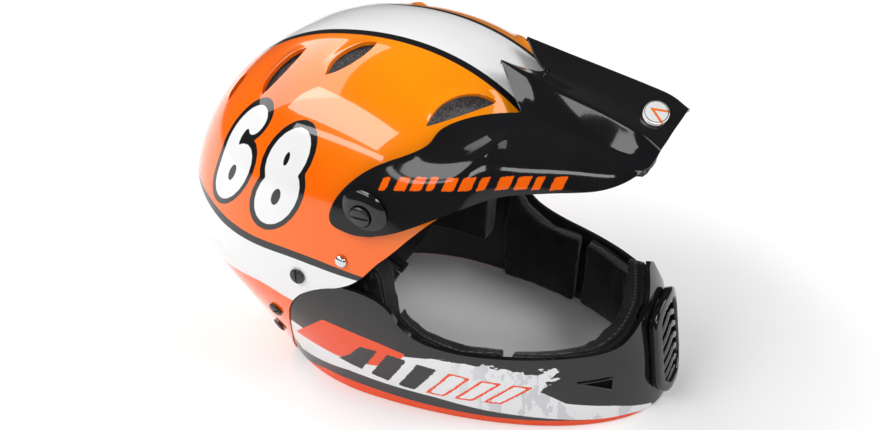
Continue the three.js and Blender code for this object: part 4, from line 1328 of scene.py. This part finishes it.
def badge_print():
    """White with a thin black ring and an orange chevron."""
    s = Shader("badge")
    across = s.math("MULTIPLY", s.axis("X"), 1000)
    along = s.math("MULTIPLY", s.math("SUBTRACT", s.axis("Y"), row(0, BADGE_Y, 0).y), 1000)
    ring = s.math("SQRT", s.math("ADD", s.math("POWER", s.math("DIVIDE", across, BADGE_HALF_WIDTH), 2.0),
                                 s.math("POWER", s.math("DIVIDE", along, 6.8), 2.0)))
    chevron = s.math("ABSOLUTE", s.math("ADD", s.math("ABSOLUTE", across), s.math("SUBTRACT", along, 2.6)))
    colour = s.mix(s.below(chevron, 1.5, 0.1), (0.8, 0.8, 0.79), (0.88, 0.18, 0.01))
    on_ring = s.remap(s.math("ABSOLUTE", s.math("SUBTRACT", ring, 0.9)), 0.025, 0.035, 1, 0)
    colour = s.mix(on_ring, colour, (0.03, 0.03, 0.03))
    s.set(Base_Color=colour, Roughness=s.remap(s.noise(600), 0.3, 0.7, 0.18, 0.3), Coat_Weight=1.0)
    return s.material


# ---------------------------------------------------------------- pads

def depth_below(level, points):
    """How deep points lie below the form where a level is 1, to first order, and the way further in."""
    slope = gradient(level, points)
    size = np.maximum(np.linalg.norm(slope, axis=1), 1e-6)
    return (1 - level(points)) / size, -slope / size[:, None]


def ring_level(p):
    """1 on the chin guard's form, less inside it."""
    half, centre, rear, front, power = section(p[..., 2])
    ahead = p[..., 1] < centre
    power = np.where(ahead, 2.0, power)
    reach = np.where(ahead, centre - front, rear - centre)
    across, along = np.abs(p[..., 0]) / half, np.abs(p[..., 1] - centre) / reach
    return (across ** power + along ** power) ** (1 / power)


PAD_PRESSURE, PAD_STEPS = 4.0, 20
PAD_SWELL = 5.0  # the furthest that a point of a pad moves
PAD_VOXEL = 4.5
SEAM_INSET = 3.2


def swell(piece):
    """Blows a closed mesh up a little as cloth under pressure, and caps how far each point moves."""
    start = design_points(piece)
    cloth = piece.modifiers.new("cloth", "CLOTH")
    cloth.settings.use_pressure = True
    cloth.settings.uniform_pressure_force = PAD_PRESSURE
    cloth.settings.effector_weights.gravity = 0
    cloth.settings.tension_stiffness = cloth.settings.compression_stiffness = 20
    cloth.settings.bending_stiffness = 2
    cloth.settings.quality = 6
    cloth.collision_settings.use_collision = False
    cloth.point_cache.frame_start, cloth.point_cache.frame_end = 1, PAD_STEPS
    scene = bpy.context.scene
    for number in range(1, PAD_STEPS + 1):
        scene.frame_set(number)
    apply_modifiers(piece)
    scene.frame_set(1)
    moved = design_points(piece) - start
    size = np.linalg.norm(moved, axis=1, keepdims=True)
    return start + moved * np.minimum(1, PAD_SWELL / np.maximum(size, 1e-9))


def write_points(piece, points):
    piece.data.vertices.foreach_set("co", to_row(points).ravel())
    piece.data.update()


def make_pad(node, material, level, least, shrink=1.3):
    """A stitched cushion from a CAD pad, kept at least a depth below the form where a level is 1."""
    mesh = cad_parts[node].data.copy()
    pad = bpy.data.objects.new(node + "_cushion", mesh)
    bpy.context.collection.objects.link(pad)
    bpy.context.view_layer.objects.active = pad
    mesh.remesh_voxel_size = PAD_VOXEL / 1000
    bpy.ops.object.voxel_remesh()
    mesh = pad.data
    normals = np.empty(len(mesh.vertices) * 3)
    mesh.vertices.foreach_get("normal", normals)
    write_points(pad, design_points(pad) - normals.reshape(-1, 3) * shrink)
    points = swell(pad)
    depth, inward = depth_below(level, points)
    points = points + inward * np.maximum(0, least - depth)[:, None]
    write_points(pad, points)
    finer = pad.modifiers.new("finer", "SUBSURF")
    finer.levels = finer.render_levels = 1
    apply_modifiers(pad)
    depth, _ = depth_below(level, design_points(pad))
    set_attribute(pad, "seam", depth - least - SEAM_INSET)
    pad.data.polygons.foreach_set("use_smooth", [True] * len(pad.data.polygons))
    pad.data.materials.clear()
    pad.data.materials.append(material)
    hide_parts(node)
    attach(pad, "shell")


def make_pads():
    cloth = cloth_black()
    for node in ("chin_pad_front", "chin_pad_left", "chin_pad_right"):
        make_pad(node, cloth, ring_level, 4.6)
    for node in ("cheek_pad_left", "cheek_pad_right"):
        make_pad(node, cloth, ring_level, 13.4)
    for node in ("brow_pad", "crown_pad", "rear_pad", "temple_pad_left", "temple_pad_right"):
        make_pad(node, cloth, form_level, 24.6, shrink=1.0)
    make_pad("neck_roll", cloth, form_level, 3.4, shrink=1.0)


# ---------------------------------------------------------------- chin strap

STRAP_TILT = math.radians(25)
STRAP_HALF_WIDTH, STRAP_HALF_THICKNESS = 8.9, 0.75
STRAP_PATH = [(98.6, 8), (98.6, -2), (98, -22), (95, -42), (90, -60), (82, -78), (72, -91.5), (60, -100.5),
              (48, -104), (36, -104), (27.6, -104)]


def strap_space(points):
    """From the strap's own frame, which hangs from the rivets, to the design frame."""
    points = np.asarray(points, float)
    y = RIVET_PLACE[0] + points[:, 1] * math.cos(STRAP_TILT) - points[:, 2] * math.sin(STRAP_TILT)
    z = RIVET_PLACE[1] + points[:, 1] * math.sin(STRAP_TILT) + points[:, 2] * math.cos(STRAP_TILT)
    return np.stack((points[:, 0], y, z), 1)


def make_strap(name, side, end_x):
    """Webbing from a rivet down to the buckle."""
    path = [(x * side, z) for x, z in STRAP_PATH]
    path[-1] = (end_x, path[-1][1])
    line = curve(path, 1.0)
    length = np.concatenate(([0], np.cumsum(np.linalg.norm(np.diff(line, axis=0), axis=1))))
    tangent = unit(np.gradient(line, axis=0))
    normal = np.stack((-tangent[:, 1], tangent[:, 0]), 1)
    across = np.linspace(-STRAP_HALF_WIDTH, STRAP_HALF_WIDTH, 33)
    round_edge = np.sqrt(np.maximum(0, 1 - (np.abs(across) / 9.0) ** 14))
    thick = STRAP_HALF_THICKNESS * np.minimum(1, round_edge + 0.25)
    ring = [(a, t) for a, t in zip(across, thick)] + [(a, -t) for a, t in zip(across[::-1], thick[::-1])]
    verts, along, over = [], [], []
    for (x, z), (nx, nz), l in zip(line, normal, length):
        for a, t in ring:
            verts.append((x + nx * t, a, z + nz * t))
            along.append(l)
            over.append(a)
    faces = tube_faces(len(line), len(ring))
    strap = make_object(name, strap_space(verts), faces, [webbing()], smooth_angle=50)
    set_attribute(strap, "along", along)
    set_attribute(strap, "across", over)
    return strap


def make_straps():
    """Both webbings, and the finish of the CAD buckle and slider between them."""
    left = make_strap("webbing_left", 1, 27.6)
    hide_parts("strap_left")
    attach(left, "strap")
    right = make_strap("webbing_right", -1, -23.2)
    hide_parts("strap_right")
    start, end = strap_space([(-75, 0, -90), (-30, 0, -104)])
    tuple(to_row(start))
    tuple(to_row(end))
    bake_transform(right)
    plastic = matte_black("buckle_plastic", 0.35)
    red = Shader("button_red")
    red.set(Base_Color=red.mix(red.noise(200), (0.42, 0.02, 0.012), (0.5, 0.03, 0.02)), Roughness=0.4)
    red.bump(red.noise(1500), 0.00006, 0.4)
    for node, material in (("buckle_socket", plastic), ("buckle_plug", plastic), ("strap_slider", plastic),
                           ("buckle_button", red.material)):
        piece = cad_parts[node]
        for slot in piece.material_slots:
            slot.material = material
        weld = piece.modifiers.new("weld", "WELD")
        weld.merge_threshold = 0.00001
        soften = piece.modifiers.new("soften", "BEVEL")
        soften.width = 0.0005
        soften.segments = 3
        soften.angle_limit = math.radians(40)


def make_filter():
    """The open-cell foam slab behind the grille."""
    outline = rounded_outline(18, 28, 8, MOUTH_Z)
    params, faces = ring_mesh(8, 72, 2.5, 0.35)
    params, faces = clip_ring(params, faces, lambda p: -polygon_distance(p[:, [0, 2]], outline), FILTER_DEPTH)
    verts, faces, tags, normals = ring_wall(params, faces, FILTER_DEPTH, FILTER_WALL)
    s = Shader("filter_foam")
    cell = s.cells(700)
    colour = s.mix(s.remap(cell, 0.1, 0.6), (0.004, 0.004, 0.004), (0.03, 0.03, 0.032))
    s.set(Base_Color=colour, Roughness=0.95)
    s.bump(cell, 0.0008, 0.9)
    piece = make_object("filter_slab", verts, faces, [s.material], tags, (0, 0, 0), normals)
    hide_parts("mouth_filter")
    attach(piece, "shell")


make_camera()
make_studio()
make_shell()
make_liner()
make_guard()
make_flange()
make_grille()
make_filter()
make_visor()
make_badge()
make_hardware()
make_pads()
make_straps()
